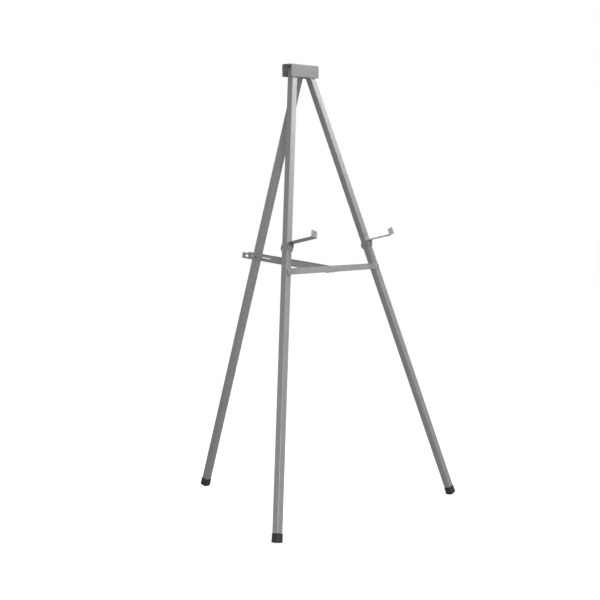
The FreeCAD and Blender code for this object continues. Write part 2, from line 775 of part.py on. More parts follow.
def make_arm(side, word):
    """The arm that a board stands on: it wraps over its pin and its heel stops on the leg."""
    place = hook_frame(side) * moved(0, -hook_pin_front.value, number("hook_pin_lift"))
    body = new_body(f"{word}_hook_arm", place)
    inner = hook_bend_inner
    outer = hook_bend_outer
    far = -dims.arm_length
    inside = dims.lip_bend
    bend = inside + dims.saddle_sheet
    lip = outer + dims.lip_height
    face = far + dims.saddle_sheet
    outline = [
        (far + bend, inner), (0, inner, (0, 0)), (inner, 0), (inner, -dims.heel_drop),
        (outer, -dims.heel_drop), (outer, 0, (0, 0)), (0, outer),
        (face + inside, outer, (face + inside, outer + inside)), (face, outer + inside),
        (face, lip), (far, lip), (far, inner + bend, (far + bend, inner + bend)),
    ]
    half = half_tube + dims.arm_overhang
    pad(body, "YZ", -half, half * 2, [outline])
    root = half_tube - dims.face_gap
    root_front = -dims.lobe_radius - dims.arm_root_gap
    through = dims.heel_drop + outer + OVERCUT * 2
    for x0, x1 in ((root, half + OVERCUT), (-half - OVERCUT, -root)):
        cut = box_loop(x0, x1, root_front, outer + OVERCUT)
        pocket(body, "XY", -dims.heel_drop - OVERCUT, through, [cut])
    knuckle = [(0, 0, inner + dims.knuckle_sink), (0, 0, dims.hook_pin_radius + dims.running_fit)]
    pad(body, "YZ", root - dims.saddle_sheet, dims.saddle_sheet, [], knuckle)
    pad(body, "YZ", -root, dims.saddle_sheet, [], knuckle)
    return keep(body)


# ---- Folding brace -------------------------------------------------------------------

half_link = dims.link_width / 2
right_layer = half_tube + dims.link_lift
left_layer = right_layer + dims.sheet + dims.link_lift
clip_inner = half_tube + dims.ear_room
clip_outer = clip_inner + dims.sheet
strip_inner = clip_outer + dims.face_gap
strip_outer = strip_inner + dims.sheet
clip_web = right_layer - dims.face_gap - dims.sheet
knee_head = left_layer + dims.sheet + dims.face_gap


def make_left_link():
    """The front link: round at the leg, square with small corners past the knee."""
    body = new_body("left_brace_link", knee_place)
    span = -worked.link_span
    tail = dims.link_tail
    corner = dims.link_corner
    outline = [
        (span, -half_link), (tail - corner, -half_link, (tail - corner, -half_link + corner)),
        (tail, -half_link + corner), (tail, half_link - corner, (tail - corner, half_link - corner)),
        (tail - corner, half_link), (span, half_link, (span, 0)),
    ]
    holes = [
        (span, 0, dims.shank_radius + dims.seat_fit), (0, 0, dims.shank_radius + dims.running_fit),
    ]
    pad(body, "XZ", left_layer, dims.sheet, [outline], holes)
    return keep(body)


def make_right_link():
    """The back link, with a stop tab bent forward under the left link."""
    body = new_body("right_brace_link", knee_place)
    span = worked.link_span
    tail = -dims.right_link_tail
    corner = dims.link_corner
    outline = [
        (tail + corner, -half_link), (span, -half_link, (span, 0)), (span, half_link),
        (tail + corner, half_link, (tail + corner, half_link - corner)),
        (tail, half_link - corner), (tail, -half_link + corner, (tail + corner, -half_link + corner)),
    ]
    holes = [
        (span, 0, dims.shank_radius + dims.seat_fit), (0, 0, dims.shank_radius + dims.running_fit),
    ]
    pad(body, "XZ", right_layer, dims.sheet, [outline], holes)
    end = -dims.tab_start
    low = -half_link - dims.tab_gap - dims.sheet
    tab = box_loop(end - dims.tab_length, end, low, -half_link - dims.tab_gap)
    pad(body, "XZ", right_layer, dims.sheet + dims.tab_reach, [tab])
    root = box_loop(end - dims.tab_length, end, low, -half_link + dims.link_corner / 2)
    pad(body, "XZ", right_layer, dims.sheet, [root])
    return keep(body)


def make_link_screw(side, word, layer):
    """The screw at a link's outer end. It stops just short of the leg."""
    place = knee_place * moved(side * worked.link_span.value, 0, 0) * FACING_FRONT
    shank = dims.shank_radius
    front = layer + dims.sheet
    back = half_tube + dims.face_gap
    rim, crown = dome(dims.rivet_head_radius, dims.rivet_head_height, front)
    keep(turned(f"{word}_link_screw", place, [(0, back), (shank, back), (shank, front), rim, crown]))
    return place


def make_link_spacer(place):
    """The spacer that holds the front link off the left leg."""
    body = new_body("left_link_spacer", place)
    rings = [(0, 0, dims.washer_radius), (0, 0, dims.shank_radius + dims.seat_fit)]
    pad(body, "XY", right_layer, left_layer - right_layer, [], rings)
    return keep(body)


def make_insert(side, word):
    """The threaded insert in a front leg that a link screw goes into."""
    place = leg_place(side) * moved(0, 0, -number("link_distance")) * FACING_FRONT
    front = half_tube
    behind = front - dims.tube_wall
    back = front - dims.insert_length
    collar = dims.insert_radius + dims.insert_bulge
    outline = [
        (dims.insert_bore, back), (dims.insert_radius, back),
        (dims.insert_radius, behind - dims.tube_wall), (collar, behind - dims.tube_wall),
        (collar, behind), (dims.insert_radius, behind),
        (dims.insert_radius, front), (dims.insert_bore, front),
    ]
    keep(turned(f"{word}_leg_insert", place, outline))


def make_knee_clip():
    """The clip behind the knee: its web is riveted to the links, its ears hold the strips."""
    body = new_body("knee_clip", knee_place)
    half = dims.clip_height / 2
    web = box_loop(-clip_outer, clip_outer, -half, half)
    bore = dims.shank_radius + dims.seat_fit
    pad(body, "XZ", clip_web, dims.sheet, [web], [(0, 0, bore)])
    front = -clip_web - dims.sheet
    pin = dims.clip_pin_back
    radius = dims.clip_ear_radius
    shoulder = front + dims.sheet * 2
    ear = [
        (front, -half), (shoulder, -half), (pin, -radius, (pin, 0)), (pin, radius),
        (shoulder, half), (front, half),
    ]
    for start in (clip_inner, -clip_outer):
        pad(body, "YZ", start, dims.sheet, [ear], [(pin, 0, bore)])
    return keep(body)


def make_knee_pins():
    """The knee rivet through both links, and the pin across the clip's ears."""
    shank = dims.shank_radius
    rim, crown = dome(dims.rivet_head_radius, dims.rivet_head_height, knee_head)
    outline = [
        (0, clip_web - dims.rivet_tail_height),
        (dims.rivet_tail_radius, clip_web - dims.rivet_tail_height),
        (dims.rivet_tail_radius, clip_web), (shank, clip_web), (shank, knee_head), rim, crown,
    ]
    keep(turned("knee_rivet", knee_place * FACING_FRONT, outline))
    place = knee_place * moved(0, number("clip_pin_back"), 0) * FACING_RIGHT
    body = new_body("clip_pin", place)
    pad(body, "XY", -clip_outer, clip_outer * 2, [], [(0, 0, shank)])
    keep(body)


def make_strip(name, start):
    """A slotted strip on edge, from the clip pin to past the rear leg."""
    body = new_body(name, strip_place)
    slot_front = worked.strip_closed - dims.slot_spare_front
    slot_back = worked.strip_open + dims.slot_spare_back
    tail = slot_back + dims.slot_radius + dims.strip_end
    corner = dims.link_corner
    outline = [
        (0, -half_link), (tail - corner, -half_link, (tail - corner, -half_link + corner)),
        (tail, -half_link + corner), (tail, half_link - corner, (tail - corner, half_link - corner)),
        (tail - corner, half_link), (0, half_link, (0, 0)),
    ]
    slot = slot_loop(slot_front, slot_back, dims.slot_radius)
    bore = (0, 0, dims.shank_radius + dims.seat_fit)
    pad(body, "YZ", start, dims.sheet, [outline, slot], [bore])
    return keep(body)


def make_strip_pins():
    """The two headed ends of the clip pin, one in each strip."""
    members = []
    for word, turn in (("right", 1), ("left", -1)):
        place = strip_place * turned_about(Y_AXIS, turn * math.pi / 2)
        rim, crown = dome(dims.rivet_head_radius, dims.rivet_head_height, strip_outer)
        shank = dims.shank_radius
        outline = [(0, strip_inner), (shank, strip_inner), (shank, strip_outer), rim, crown]
        members.append(turned(f"strip_pin_{word}", place, outline))
    group("strip_pins", members)


# ---- The easel -----------------------------------------------------------------------

make_head_channel()
make_head_rivets()
make_clevis()
pivot_across = rear_pivot * FACING_RIGHT
pivot_grip = clevis_outer + dims.washer_sheet
make_bolt("rear_pivot_bolt", pivot_across, pivot_grip)
make_nut("rear_pivot_nut", pivot_across, pivot_grip)
make_rings("rear_pivot_washers", pivot_across, clevis_outer, dims.washer_sheet, dims.washer_radius)
make_rear_leg()
make_tip("rear_leg_tip", rear_place, worked.rear_run_length)
for side, word in SIDES:
    make_leg_bracket(side, word)
    make_pivot_rivet(side, word)
    make_front_leg(side, word)
    make_tip(f"{word}_leg_tip", leg_place(side), worked.leg_run)
    make_insert(side, word)
    make_saddle(side, word)
    make_hook_pins(side, word)
    make_arm(side, word)

make_left_link()
make_right_link()
make_link_spacer(make_link_screw(LEFT, "left", left_layer))
make_link_screw(RIGHT, "right", right_layer)
make_knee_clip()
make_knee_pins()
make_strip("right_brace_strip", strip_inner)
make_strip("left_brace_strip", -strip_outer)
make_strip_pins()
bolt_across = rear_place * moved(0, 0, -number("bolt_distance")) * FACING_RIGHT
bolt_washer = strip_outer + dims.face_gap
bolt_grip = bolt_washer + dims.washer_sheet
make_bolt("brace_bolt", bolt_across, bolt_grip)
make_nut("brace_nut", bolt_across, bolt_grip)
make_rings("brace_washers", bolt_across, bolt_washer, dims.washer_sheet, dims.washer_radius)
spacer = strip_inner - half_tube - dims.face_gap * 2
make_rings("brace_spacers", bolt_across, half_tube + dims.face_gap, spacer, dims.washer_radius)

# Where the joints are and how far they go, for whoever poses the model.
joints = {
    "lean_deg": math.degrees(lean),
    "spread_deg": math.degrees(spread),
    "front_normal": list(front_plane.Rotation.multVec(V(0, -1, 0))),
    "plane_down": list(front_plane.Rotation.multVec(V(0, 0, -1))),
    "left_pivot": list(leg_place(LEFT).Base),
    "right_pivot": list(leg_place(RIGHT).Base),
    "rear_pivot": list(rear_pivot.Base),
    "knee": list(knee_place.Base),
    "knee_travel_mm": knee_travel,
    "link_turn_deg": math.degrees(link_turn),
    "rear_turn_deg": math.degrees(rear_turn),
    "brace_bolt": list(bolt_across.Base),
    "strip_axis": list(strip_place.Rotation.multVec(V(0, 1, 0))),
    "strip_slide_mm": strip_open - strip_closed,
    "strip_turn_deg": math.degrees(closed_slope - strip_slope + rear_turn),
}

# ---- Check and export ----------------------------------------------------------------

doc.recompute()
for item in doc.Objects:
    if "Invalid" in item.State or "Error" in item.State:
        raise ValueError(f"{item.Label} did not build")
for piece in pieces:
    if piece.Shape.isNull() or not piece.Shape.isValid():
        raise ValueError(f"{piece.Label} is not a valid solid")

os.makedirs("parts", exist_ok=True)
for piece in pieces:
    piece.Shape.exportStep(f"parts/{piece.Label}.step")
print(len(pieces), "pieces")
for name, value in joints.items():
    print(name, value)
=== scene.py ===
"""Looks of the folding display easel: square tube legs, slotted brace, two board hooks.

Every piece is shaped in millimetres in its own frame and then placed in the row frame:
X runs to the right of someone facing the easel, -Y is the side the board hangs on, Z is up.
"""
import json
import logging
import math
from collections.abc import Callable, Iterable
from dataclasses import dataclass
from enum import Enum

import bmesh
import bpy
from mathutils import Matrix, Vector


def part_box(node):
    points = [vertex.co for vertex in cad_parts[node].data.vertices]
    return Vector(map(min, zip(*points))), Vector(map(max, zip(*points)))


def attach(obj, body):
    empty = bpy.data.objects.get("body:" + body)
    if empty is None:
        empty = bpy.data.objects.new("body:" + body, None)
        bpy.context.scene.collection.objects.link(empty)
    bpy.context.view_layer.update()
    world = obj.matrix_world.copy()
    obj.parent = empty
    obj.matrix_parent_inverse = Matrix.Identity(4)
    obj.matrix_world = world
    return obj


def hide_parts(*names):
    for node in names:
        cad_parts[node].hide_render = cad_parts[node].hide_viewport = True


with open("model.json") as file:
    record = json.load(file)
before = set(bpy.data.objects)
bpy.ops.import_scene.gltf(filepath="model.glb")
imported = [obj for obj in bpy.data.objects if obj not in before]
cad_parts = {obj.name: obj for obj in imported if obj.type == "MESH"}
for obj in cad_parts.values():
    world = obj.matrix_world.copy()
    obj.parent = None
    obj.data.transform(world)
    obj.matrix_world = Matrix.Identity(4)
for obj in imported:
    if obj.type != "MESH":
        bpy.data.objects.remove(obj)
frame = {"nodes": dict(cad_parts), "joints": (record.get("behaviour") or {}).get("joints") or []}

logging.basicConfig(level=logging.INFO, format="%(message)s")
log = logging.getLogger("easel")

MM = 0.001
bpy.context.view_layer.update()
TURN_STEPS = 48
MERGE_WITHIN = 1e-4
SHARP_ANGLE = math.radians(28)
GRAIN = "grain"

Point = tuple[float, float]
Shell = bmesh.types.BMesh


class Side(Enum):
    """Left or right, as seen by someone facing the easel."""

    LEFT = -1
    RIGHT = 1

    @property
    def word(self) -> str:
        """The side's name as the frame's nodes spell it."""
        return self.name.lower()


class Facing(Enum):
    """Which way the thickness of a flat blank runs in its piece's frame."""

    FRONT = "front"
    RIGHT = "right"
    UP = "up"

    def turn(self) -> Matrix:
        """The rotation that takes a blank drawn flat on X and Y to this facing."""
        if self is Facing.FRONT:
            return Matrix.Rotation(math.radians(90), 4, "X")
        if self is Facing.RIGHT:
            return Matrix(((0, 0, 1, 0), (1, 0, 0, 0), (0, 1, 0, 0), (0, 0, 0, 1)))
        return Matrix.Identity(4)


class Stock(Enum):
    """The record's material slots."""

    TUBE = "leg_tube"
    HEAD = "head_sheet"
    BRACE = "brace_sheet"
    HOOK = "hook_sheet"
    FASTENER = "fastener"
    RUBBER = "rubber_tip"


# ---- Outlines ------------------------------------------------------------------------


def arc(centre: Point, radius: float, start: float, end: float, steps: int = 10) -> list[Point]:
    """Points along an arc, both ends included.

    Args:
        centre: Middle of the arc.
        radius: Its radius.
        start: Angle of the first point, in degrees.
        end: Angle of the last point, in degrees.
        steps: How many equal stretches the arc has.

    Returns:
        The points, in order.
    """
    angles = [math.radians(start + (end - start) * step / steps) for step in range(steps + 1)]
    return [(centre[0] + radius * math.cos(a), centre[1] + radius * math.sin(a)) for a in angles]


def circle(centre: Point, radius: float, steps: int = 40) -> list[Point]:
    """A closed circle as points, its first point not repeated."""
    return arc(centre, radius, 0, 360, steps)[:-1]


def rounded_square(half: float, corner: float, steps: int = 8) -> list[Point]:
    """A square about the origin, with round corners, anticlockwise."""
    inset = half - corner
    points = []
    for quarter, (x, y) in enumerate(((1, 1), (-1, 1), (-1, -1), (1, -1))):
        start = quarter * 90
        points += arc((x * inset, y * inset), corner, start, start + 90, steps)
    return points


def bar(x0: float, x1: float, half: float, corner: float) -> list[Point]:
    """A flat bar along X: fully round about its end at x0, small corners past its end at x1."""
    if x1 > x0:
        square = arc((x1 - corner, corner - half), corner, 270, 360, 6)
        square += arc((x1 - corner, half - corner), corner, 0, 90, 6)
        return arc((x0, 0), half, 90, 270, 28) + square
    square = arc((x1 + corner, half - corner), corner, 90, 180, 6)
    square += arc((x1 + corner, corner - half), corner, 180, 270, 6)
    return arc((x0, 0), half, -90, 90, 28) + square


def cap_profile(radius: float, height: float, base: float) -> list[Point]:
    """A round rivet head as (radius, height) points, from its rim to its crown."""
    ball = (radius * radius + height * height) / (2 * height)
    lowest = math.degrees(math.asin((ball - height) / ball))
    return arc((0, base + height - ball), ball, lowest, 90, 10)


# ---- Shaping -------------------------------------------------------------------------


def soften(shell: Shell, width: float, segments: int = 2) -> None:
    """Round every sharp edge of a closed shell.

    Args:
        shell: The shell to work on.
        width: How far the rounding reaches on each face.
        segments: Facets across the rounding.
    """
    sharp = [e for e in shell.edges if len(e.link_faces) == 2 and e.calc_face_angle() > SHARP_ANGLE]
    bmesh.ops.bevel(
        shell, geom=sharp, offset=width, offset_type="OFFSET", segments=segments, profile=0.5,
        affect="EDGES", clamp_overlap=True, material=-1,
    )


def close_and_face_out(shell: Shell) -> None:
    """Merge doubled points and turn the faces outwards."""
    bmesh.ops.remove_doubles(shell, verts=shell.verts[:], dist=MERGE_WITHIN)
    bmesh.ops.recalc_face_normals(shell, faces=shell.faces[:])


def ring(shell: Shell, points: Iterable[Point], height: float = 0.0) -> list[bmesh.types.BMEdge]:
    """A closed ring of edges at one height; returns the edges."""
    corners = [shell.verts.new((x, y, height)) for x, y in points]
    return [shell.edges.new(pair) for pair in zip(corners, corners[1:] + corners[:1])]


def plate(
    outline: list[Point],
    start: float,
    thickness: float,
    facing: Facing,
    holes: Iterable[list[Point]] = (),
    edge: float = 0.25,
) -> Shell:
    """A flat blank with holes.

    Args:
        outline: The blank's rim.
        start: Where its thickness begins along the facing.
        thickness: How thick it is.
        facing: Which way its thickness runs.
        holes: The rims of its holes.
        edge: Rounding of its sharp edges; none if zero.

    Returns:
        The closed shell.
    """
    shell = bmesh.new()
    rims = ring(shell, outline)
    for hole in holes:
        rims += ring(shell, hole)
    bmesh.ops.triangle_fill(shell, use_beauty=True, edges=rims, normal=(0, 0, 1))
    thick = bmesh.ops.extrude_face_region(shell, geom=shell.faces[:])
    raised = [part for part in thick["geom"] if isinstance(part, bmesh.types.BMVert)]
    bmesh.ops.translate(shell, verts=raised, vec=(0, 0, thickness))
    bmesh.ops.translate(shell, verts=shell.verts[:], vec=(0, 0, start))
    close_and_face_out(shell)
    if edge:
        soften(shell, edge)
    shell.transform(facing.turn())
    return shell


def turned(profile: list[Point], facing: Facing, ring_shaped: bool = False, edge: float = 0.0) -> Shell:
    """A piece turned on a lathe, about the facing's own direction.

    Args:
        profile: Its (radius, height) points.
        facing: The direction of its axis.
        ring_shaped: Whether the profile closes on itself instead of on the axis.
        edge: Rounding of its sharp edges; none if zero.

    Returns:
        The closed shell.
    """
    shell = bmesh.new()
    corners = [shell.verts.new((radius, 0, height)) for radius, height in profile]
    following = corners[1:] + corners[:1] if ring_shaped else corners[1:]
    edges = [shell.edges.new(pair) for pair in zip(corners, following)]
    bmesh.ops.spin(
        shell, geom=corners + edges, cent=(0, 0, 0), axis=(0, 0, 1), dvec=(0, 0, 0),
        angle=math.tau, steps=TURN_STEPS, use_merge=True,
    )
    close_and_face_out(shell)
    if edge:
        soften(shell, edge)
    shell.transform(facing.turn())
    return shell


def washer(radius: float, bore: float, start: float, thickness: float, facing: Facing) -> Shell:
    """A flat ring with eased edges."""
    end = start + thickness
    profile = [(bore, start), (radius, start), (radius, end), (bore, end)]
    return turned(profile, facing, ring_shaped=True, edge=0.15)


def folded(
    path: list[Point],
    stations: list[float],
    sheet: float,
    kept: Callable[[Vector], bool],
    corner: float,
    edge: float = 0.3,
) -> Shell:
    """A folded sheet: a bent surface swept along X, trimmed, thickened and eased.

    Args:
        path: (y, z) points of one face of the sheet across the folds.
        stations: Where the sheet starts, is notched and ends along X.
        sheet: Its thickness, laid on the side that the swept facets' normals point away from.
        kept: Tells from a facet's middle whether the sheet is there.
        corner: Radius of the sheet's own outline corners; none if zero.
        edge: Rounding of its sharp edges.

    Returns:
        The closed shell.
    """
    shell = bmesh.new()
    corners = [shell.verts.new((stations[0], y, z)) for y, z in path]
    front = [shell.edges.new(pair) for pair in zip(corners, corners[1:])]
    for here, there in zip(stations, stations[1:]):
        swept = bmesh.ops.extrude_edge_only(shell, edges=front)["geom"]
        moved = [part for part in swept if isinstance(part, bmesh.types.BMVert)]
        front = [part for part in swept if isinstance(part, bmesh.types.BMEdge)]
        bmesh.ops.translate(shell, verts=moved, vec=(there - here, 0, 0))
    bmesh.ops.recalc_face_normals(shell, faces=shell.faces[:])
    spare = [face for face in shell.faces if not kept(face.calc_center_median())]
    bmesh.ops.delete(shell, geom=spare, context="FACES")
    if corner:
        tips = [v for v in shell.verts if v.is_boundary and len(v.link_faces) == 1]
        bmesh.ops.bevel(
            shell, geom=tips, offset=corner, offset_type="OFFSET", segments=5, profile=0.5,
            affect="VERTICES", clamp_overlap=True, material=-1,
        )
    bmesh.ops.solidify(shell, geom=shell.faces[:], thickness=sheet)
    bmesh.ops.remove_doubles(shell, verts=shell.verts[:], dist=MERGE_WITHIN)
    soften(shell, edge)
    return shell


# ---- Finishes ------------------------------------------------------------------------


class Pattern(Enum):
    """What a finish lays its pattern on."""

    GRAIN = "the piece's own grain attribute"
    OBJECT = "object coordinates"


@dataclass(frozen=True)
class SatinMetal:
    """Satin silver-grey metal, a little mottled, with fine marks along the piece."""

    name: str
    tone: tuple[float, float, float]
    metallic: float = 0.4
    roughness: float = 0.36
    mottle: float = 0.10
    cloud_scale: float = 38.0
    mark_depth: float = 0.02
    mark_stretch: tuple[float, float, float] = (420.0, 420.0, 9.0)
    gloss_below: float = 0.06
    gloss_above: float = 0.08
    pattern: Pattern = Pattern.GRAIN

    def make(self) -> bpy.types.Material:
        """Build the material's nodes; returns the material."""
        material = bpy.data.materials.new(self.name)
        material.use_nodes = True
        nodes = material.node_tree.nodes
        link = material.node_tree.links.new
        shader = nodes["Principled BSDF"]
        shader.inputs["Metallic"].default_value = self.metallic
        where = self.coordinates(nodes)

        cloud = nodes.new("ShaderNodeTexNoise")
        cloud.inputs["Scale"].default_value = self.cloud_scale
        cloud.inputs["Detail"].default_value = 4.0
        link(where, cloud.inputs["Vector"])
        tint = nodes.new("ShaderNodeMix")
        tint.data_type = "RGBA"
        tint.inputs["A"].default_value = (*[part * (1 - self.mottle) for part in self.tone], 1)
        tint.inputs["B"].default_value = (*[part * (1 + self.mottle) for part in self.tone], 1)
        link(cloud.outputs["Fac"], tint.inputs["Factor"])
        link(tint.outputs["Result"], shader.inputs["Base Color"])

        stretch = nodes.new("ShaderNodeMapping")
        stretch.inputs["Scale"].default_value = self.mark_stretch
        link(where, stretch.inputs["Vector"])
        marks = nodes.new("ShaderNodeTexNoise")
        marks.inputs["Scale"].default_value = 1.0
        marks.inputs["Detail"].default_value = 3.0
        link(stretch.outputs["Vector"], marks.inputs["Vector"])
        gloss = nodes.new("ShaderNodeMapRange")
        gloss.inputs["To Min"].default_value = self.roughness - self.gloss_below
        gloss.inputs["To Max"].default_value = self.roughness + self.gloss_above
        link(marks.outputs["Fac"], gloss.inputs["Value"])
        link(gloss.outputs["Result"], shader.inputs["Roughness"])
        bump = nodes.new("ShaderNodeBump")
        bump.inputs["Strength"].default_value = self.mark_depth
        bump.inputs["Distance"].default_value = 0.0002
        link(marks.outputs["Fac"], bump.inputs["Height"])
        link(bump.outputs["Normal"], shader.inputs["Normal"])
        return material

    def coordinates(self, nodes: bpy.types.Nodes) -> bpy.types.NodeSocket:
        """The socket that the pattern is laid on."""
        if self.pattern is Pattern.OBJECT:
            return nodes.new("ShaderNodeTexCoord").outputs["Object"]
        grain = nodes.new("ShaderNodeAttribute")
        grain.attribute_name = GRAIN
        return grain.outputs["Vector"]


@dataclass(frozen=True)
class MouldedRubber:
    """Matte black moulded rubber with a faint bloom and a fine pebble."""

    name: str
    dark: tuple[float, float, float] = (0.022, 0.022, 0.023)
    bloom: tuple[float, float, float] = (0.048, 0.047, 0.046)
    roughness: float = 0.62
    bloom_scale: float = 120.0
    pebble_scale: float = 1400.0

    def make(self) -> bpy.types.Material:
        """Build the material's nodes; returns the material."""
        material = bpy.data.materials.new(self.name)
        material.use_nodes = True
        nodes = material.node_tree.nodes
        link = material.node_tree.links.new
        shader = nodes["Principled BSDF"]
        shader.inputs["Roughness"].default_value = self.roughness
        grain = nodes.new("ShaderNodeAttribute")
        grain.attribute_name = GRAIN

        cloud = nodes.new("ShaderNodeTexNoise")
        cloud.inputs["Scale"].default_value = self.bloom_scale
        cloud.inputs["Detail"].default_value = 5.0
        link(grain.outputs["Vector"], cloud.inputs["Vector"])
        tint = nodes.new("ShaderNodeMix")
        tint.data_type = "RGBA"
        tint.inputs["A"].default_value = (*self.dark, 1)
        tint.inputs["B"].default_value = (*self.bloom, 1)
        link(cloud.outputs["Fac"], tint.inputs["Factor"])
        link(tint.outputs["Result"], shader.inputs["Base Color"])

        pebble = nodes.new("ShaderNodeTexNoise")
        pebble.inputs["Scale"].default_value = self.pebble_scale
        link(grain.outputs["Vector"], pebble.inputs["Vector"])
        bump = nodes.new("ShaderNodeBump")
        bump.inputs["Strength"].default_value = 0.15
        bump.inputs["Distance"].default_value = 0.0003
        link(pebble.outputs["Fac"], bump.inputs["Height"])
        link(bump.outputs["Normal"], shader.inputs["Normal"])
        return material


class Finishes:
    """Every finish of the easel, built once."""

    def __init__(self) -> None:
        """Build the material of each slot, and a second one for the frame's own nodes."""
        silver = (0.36, 0.36, 0.365)
        zinc = (0.42, 0.42, 0.43)
        self.made = {
            Stock.TUBE: SatinMetal("satin_silver_tube", silver).make(),
            Stock.HEAD: SatinMetal("satin_silver_head", (0.33, 0.33, 0.335)).make(),
            Stock.BRACE: SatinMetal("satin_silver_brace", silver).make(),
            Stock.HOOK: SatinMetal("satin_silver_hook", silver).make(),
            Stock.FASTENER: SatinMetal("zinc_plate", zinc, 0.85, 0.34, 0.06).make(),
            Stock.RUBBER: MouldedRubber("black_rubber").make(),
        }
        self.made_for_nodes = {
            Stock.HEAD: SatinMetal("satin_silver_inside", silver, pattern=Pattern.OBJECT).make(),
            Stock.FASTENER: SatinMetal("zinc_inside", zinc, 0.95, 0.3, pattern=Pattern.OBJECT).make(),
        }

    def dress_node(self, name: str, stock: Stock) -> None:
        """Give one of the frame's own nodes its finish.

        Args:
            name: The node, which keeps its mesh.
            stock: The slot whose finish it takes.
        """
        node = frame["nodes"][name]
        node.data.materials.clear()
        node.data.materials.append(self.made_for_nodes[stock])
        log.info("kept %s", name)


class Workshop:
    """Places finished shells in the row frame, dresses them and hangs them on their bodies."""

    def __init__(self) -> None:
        """Start with the finishes ready."""
        self.finishes = Finishes()
        self.triangles = 0

    def piece(
        self, name: str, shells: list[Shell], place: Matrix, stock: Stock, body: str, node: str
    ) -> bpy.types.Object:
        """Make one visible piece.

        Args:
            name: The piece's name.
            shells: Its closed shells, in millimetres in its own frame; they are used up.
            place: From that frame to the row frame.
            stock: The slot that it takes its finish from.
            body: The body that it rides on.
            node: The frame's node that it stands for.

        Returns:
            The piece's object.
        """
        whole = bmesh.new()
        for shell in shells:
            part = bpy.data.meshes.new(name)
            shell.to_mesh(part)
            shell.free()
            whole.from_mesh(part)
            bpy.data.meshes.remove(part)
        grain = whole.verts.layers.float_vector.new(GRAIN)
        for vertex in whole.verts:
            vertex[grain] = vertex.co * MM
        whole.transform(place)
        mesh = bpy.data.meshes.new(name)
        whole.to_mesh(mesh)
        whole.free()
        mesh.shade_smooth()
        mesh.set_sharp_from_angle(angle=SHARP_ANGLE)
        mesh.materials.append(self.finishes.made[stock])
        made = bpy.data.objects.new(name, mesh)
        bpy.context.scene.collection.objects.link(made)
        even = made.modifiers.new("even_faces", "WEIGHTED_NORMAL")
        even.keep_sharp = True
        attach(made, body)
        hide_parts(node)
        self.triangles += sum(len(face.vertices) - 2 for face in mesh.polygons)
        log.info("made %s: %d faces", name, len(mesh.polygons))
        return made


# ---- Where things are ----------------------------------------------------------------


def frame_at(origin: Vector, right: Vector, up: Vector) -> Matrix:
    """A piece's frame in the row frame.

    Args:
        origin: Its origin, in metres.
        right: Its X direction.
        up: Its Z direction.

    Returns:
        The matrix that takes millimetres in the piece's frame to metres in the row frame.
    """
    back = up.cross(right).normalized()
    turn = Matrix((right.normalized(), back, up.normalized())).transposed().to_4x4()
    return Matrix.Translation(origin) @ turn @ Matrix.Scale(MM, 4)


class Rig:
    """The easel's own frames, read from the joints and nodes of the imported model."""

    def __init__(self) -> None:
        """Look the joints up by name."""
        self.joints = {joint["name"]: joint for joint in frame["joints"]}
        self.right = Vector((1, 0, 0))
        self.plane_down = self.axis("knee_slide")
        self.spread = math.radians(self.joints["left_leg_fold"]["range_deg"][1])
        self.knee_at = self.pivot("left_link_fold")
        self.rear_at = self.pivot("rear_leg_fold")
        self.brace_at = self.pivot("brace_pin")

    def pivot(self, joint: str) -> Vector:
        """Where a hinge is, in metres."""
        return Vector(self.joints[joint]["pos_m"])

    def axis(self, joint: str) -> Vector:
        """A joint's direction."""
        return Vector(self.joints[joint]["axis"]).normalized()

    def leg(self, side: Side) -> Matrix:
        """A front leg's frame: its origin at the pivot, Z up the tube, -Y its front."""
        plane = frame_at(self.pivot(f"{side.word}_leg_fold"), self.right, -self.plane_down)
        return plane @ Matrix.Rotation(-side.value * self.spread, 4, "Y")

    def rear_leg(self) -> Matrix:
        """The rear leg's frame: its origin at the pivot, Z up the tube."""
        return frame_at(self.rear_at, self.right, self.rear_at - self.brace_at)

    def brace_bolt(self) -> Matrix:
        """The brace bolt's frame, turned as the rear leg is."""
        return frame_at(self.brace_at, self.right, self.rear_at - self.brace_at)

    def knee(self) -> Matrix:
        """The knee's frame, in the plane of the front legs."""
        return frame_at(self.knee_at, self.right, -self.plane_down)

    def strips(self) -> Matrix:
        """The brace strips' frame: its origin at the clip pin, Y along the strips."""
        low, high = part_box("clip_pin")
        along = self.axis("brace_slide")
        return frame_at((low + high) / 2, self.right, self.right.cross(along))

    def hook(self, side: Side) -> Matrix:
        """A hook arm's frame: its origin on the hook pin, turned as the leg is."""
        return Matrix.Translation(self.pivot(f"{side.word}_hook_fold")) @ self.leg(side).to_3x3().to_4x4()

    def link_span(self) -> float:
        """From the knee to the outer end of each brace link, in millimetres."""
        pivot = self.pivot("right_leg_fold")
        drop = (self.knee_at - pivot).dot(self.plane_down)
        return (pivot.x + drop * math.tan(self.spread)) / MM

    def run_to_floor(self, place: Matrix) -> float:
        """From a leg's pivot down its axis to the floor, in millimetres."""
        up = place.to_3x3() @ Vector((0, 0, 1))
        return place.translation.z / up.z


# ---- Sizes that several pieces share -------------------------------------------------


@dataclass(frozen=True)
class Common:
    """Stock sizes used all over the easel, in millimetres."""

    half_tube: float = 12.7
    wall: float = 1.5
    tube_corner: float = 3.0
    sheet: float = 2.0
    shank: float = 3.0
    bore: float = 3.05
    head_radius: float = 4.5
    head_height: float = 1.8
    tail_radius: float = 4.2
    tail_height: float = 1.6
    washer_radius: float = 6.4
    washer_sheet: float = 1.0
    hex_flats: float = 10.0
    hex_head: float = 4.0
    hex_nut: float = 5.0
    bolt_end: float = 1.2
    link_half: float = 11.1
    link_corner: float = 3.0
    turned_edge: float = 0.5
    thread_chamfer: float = 0.6
    hex_edge: float = 0.4
    flat_edge: float = 0.35


COMMON = Common()


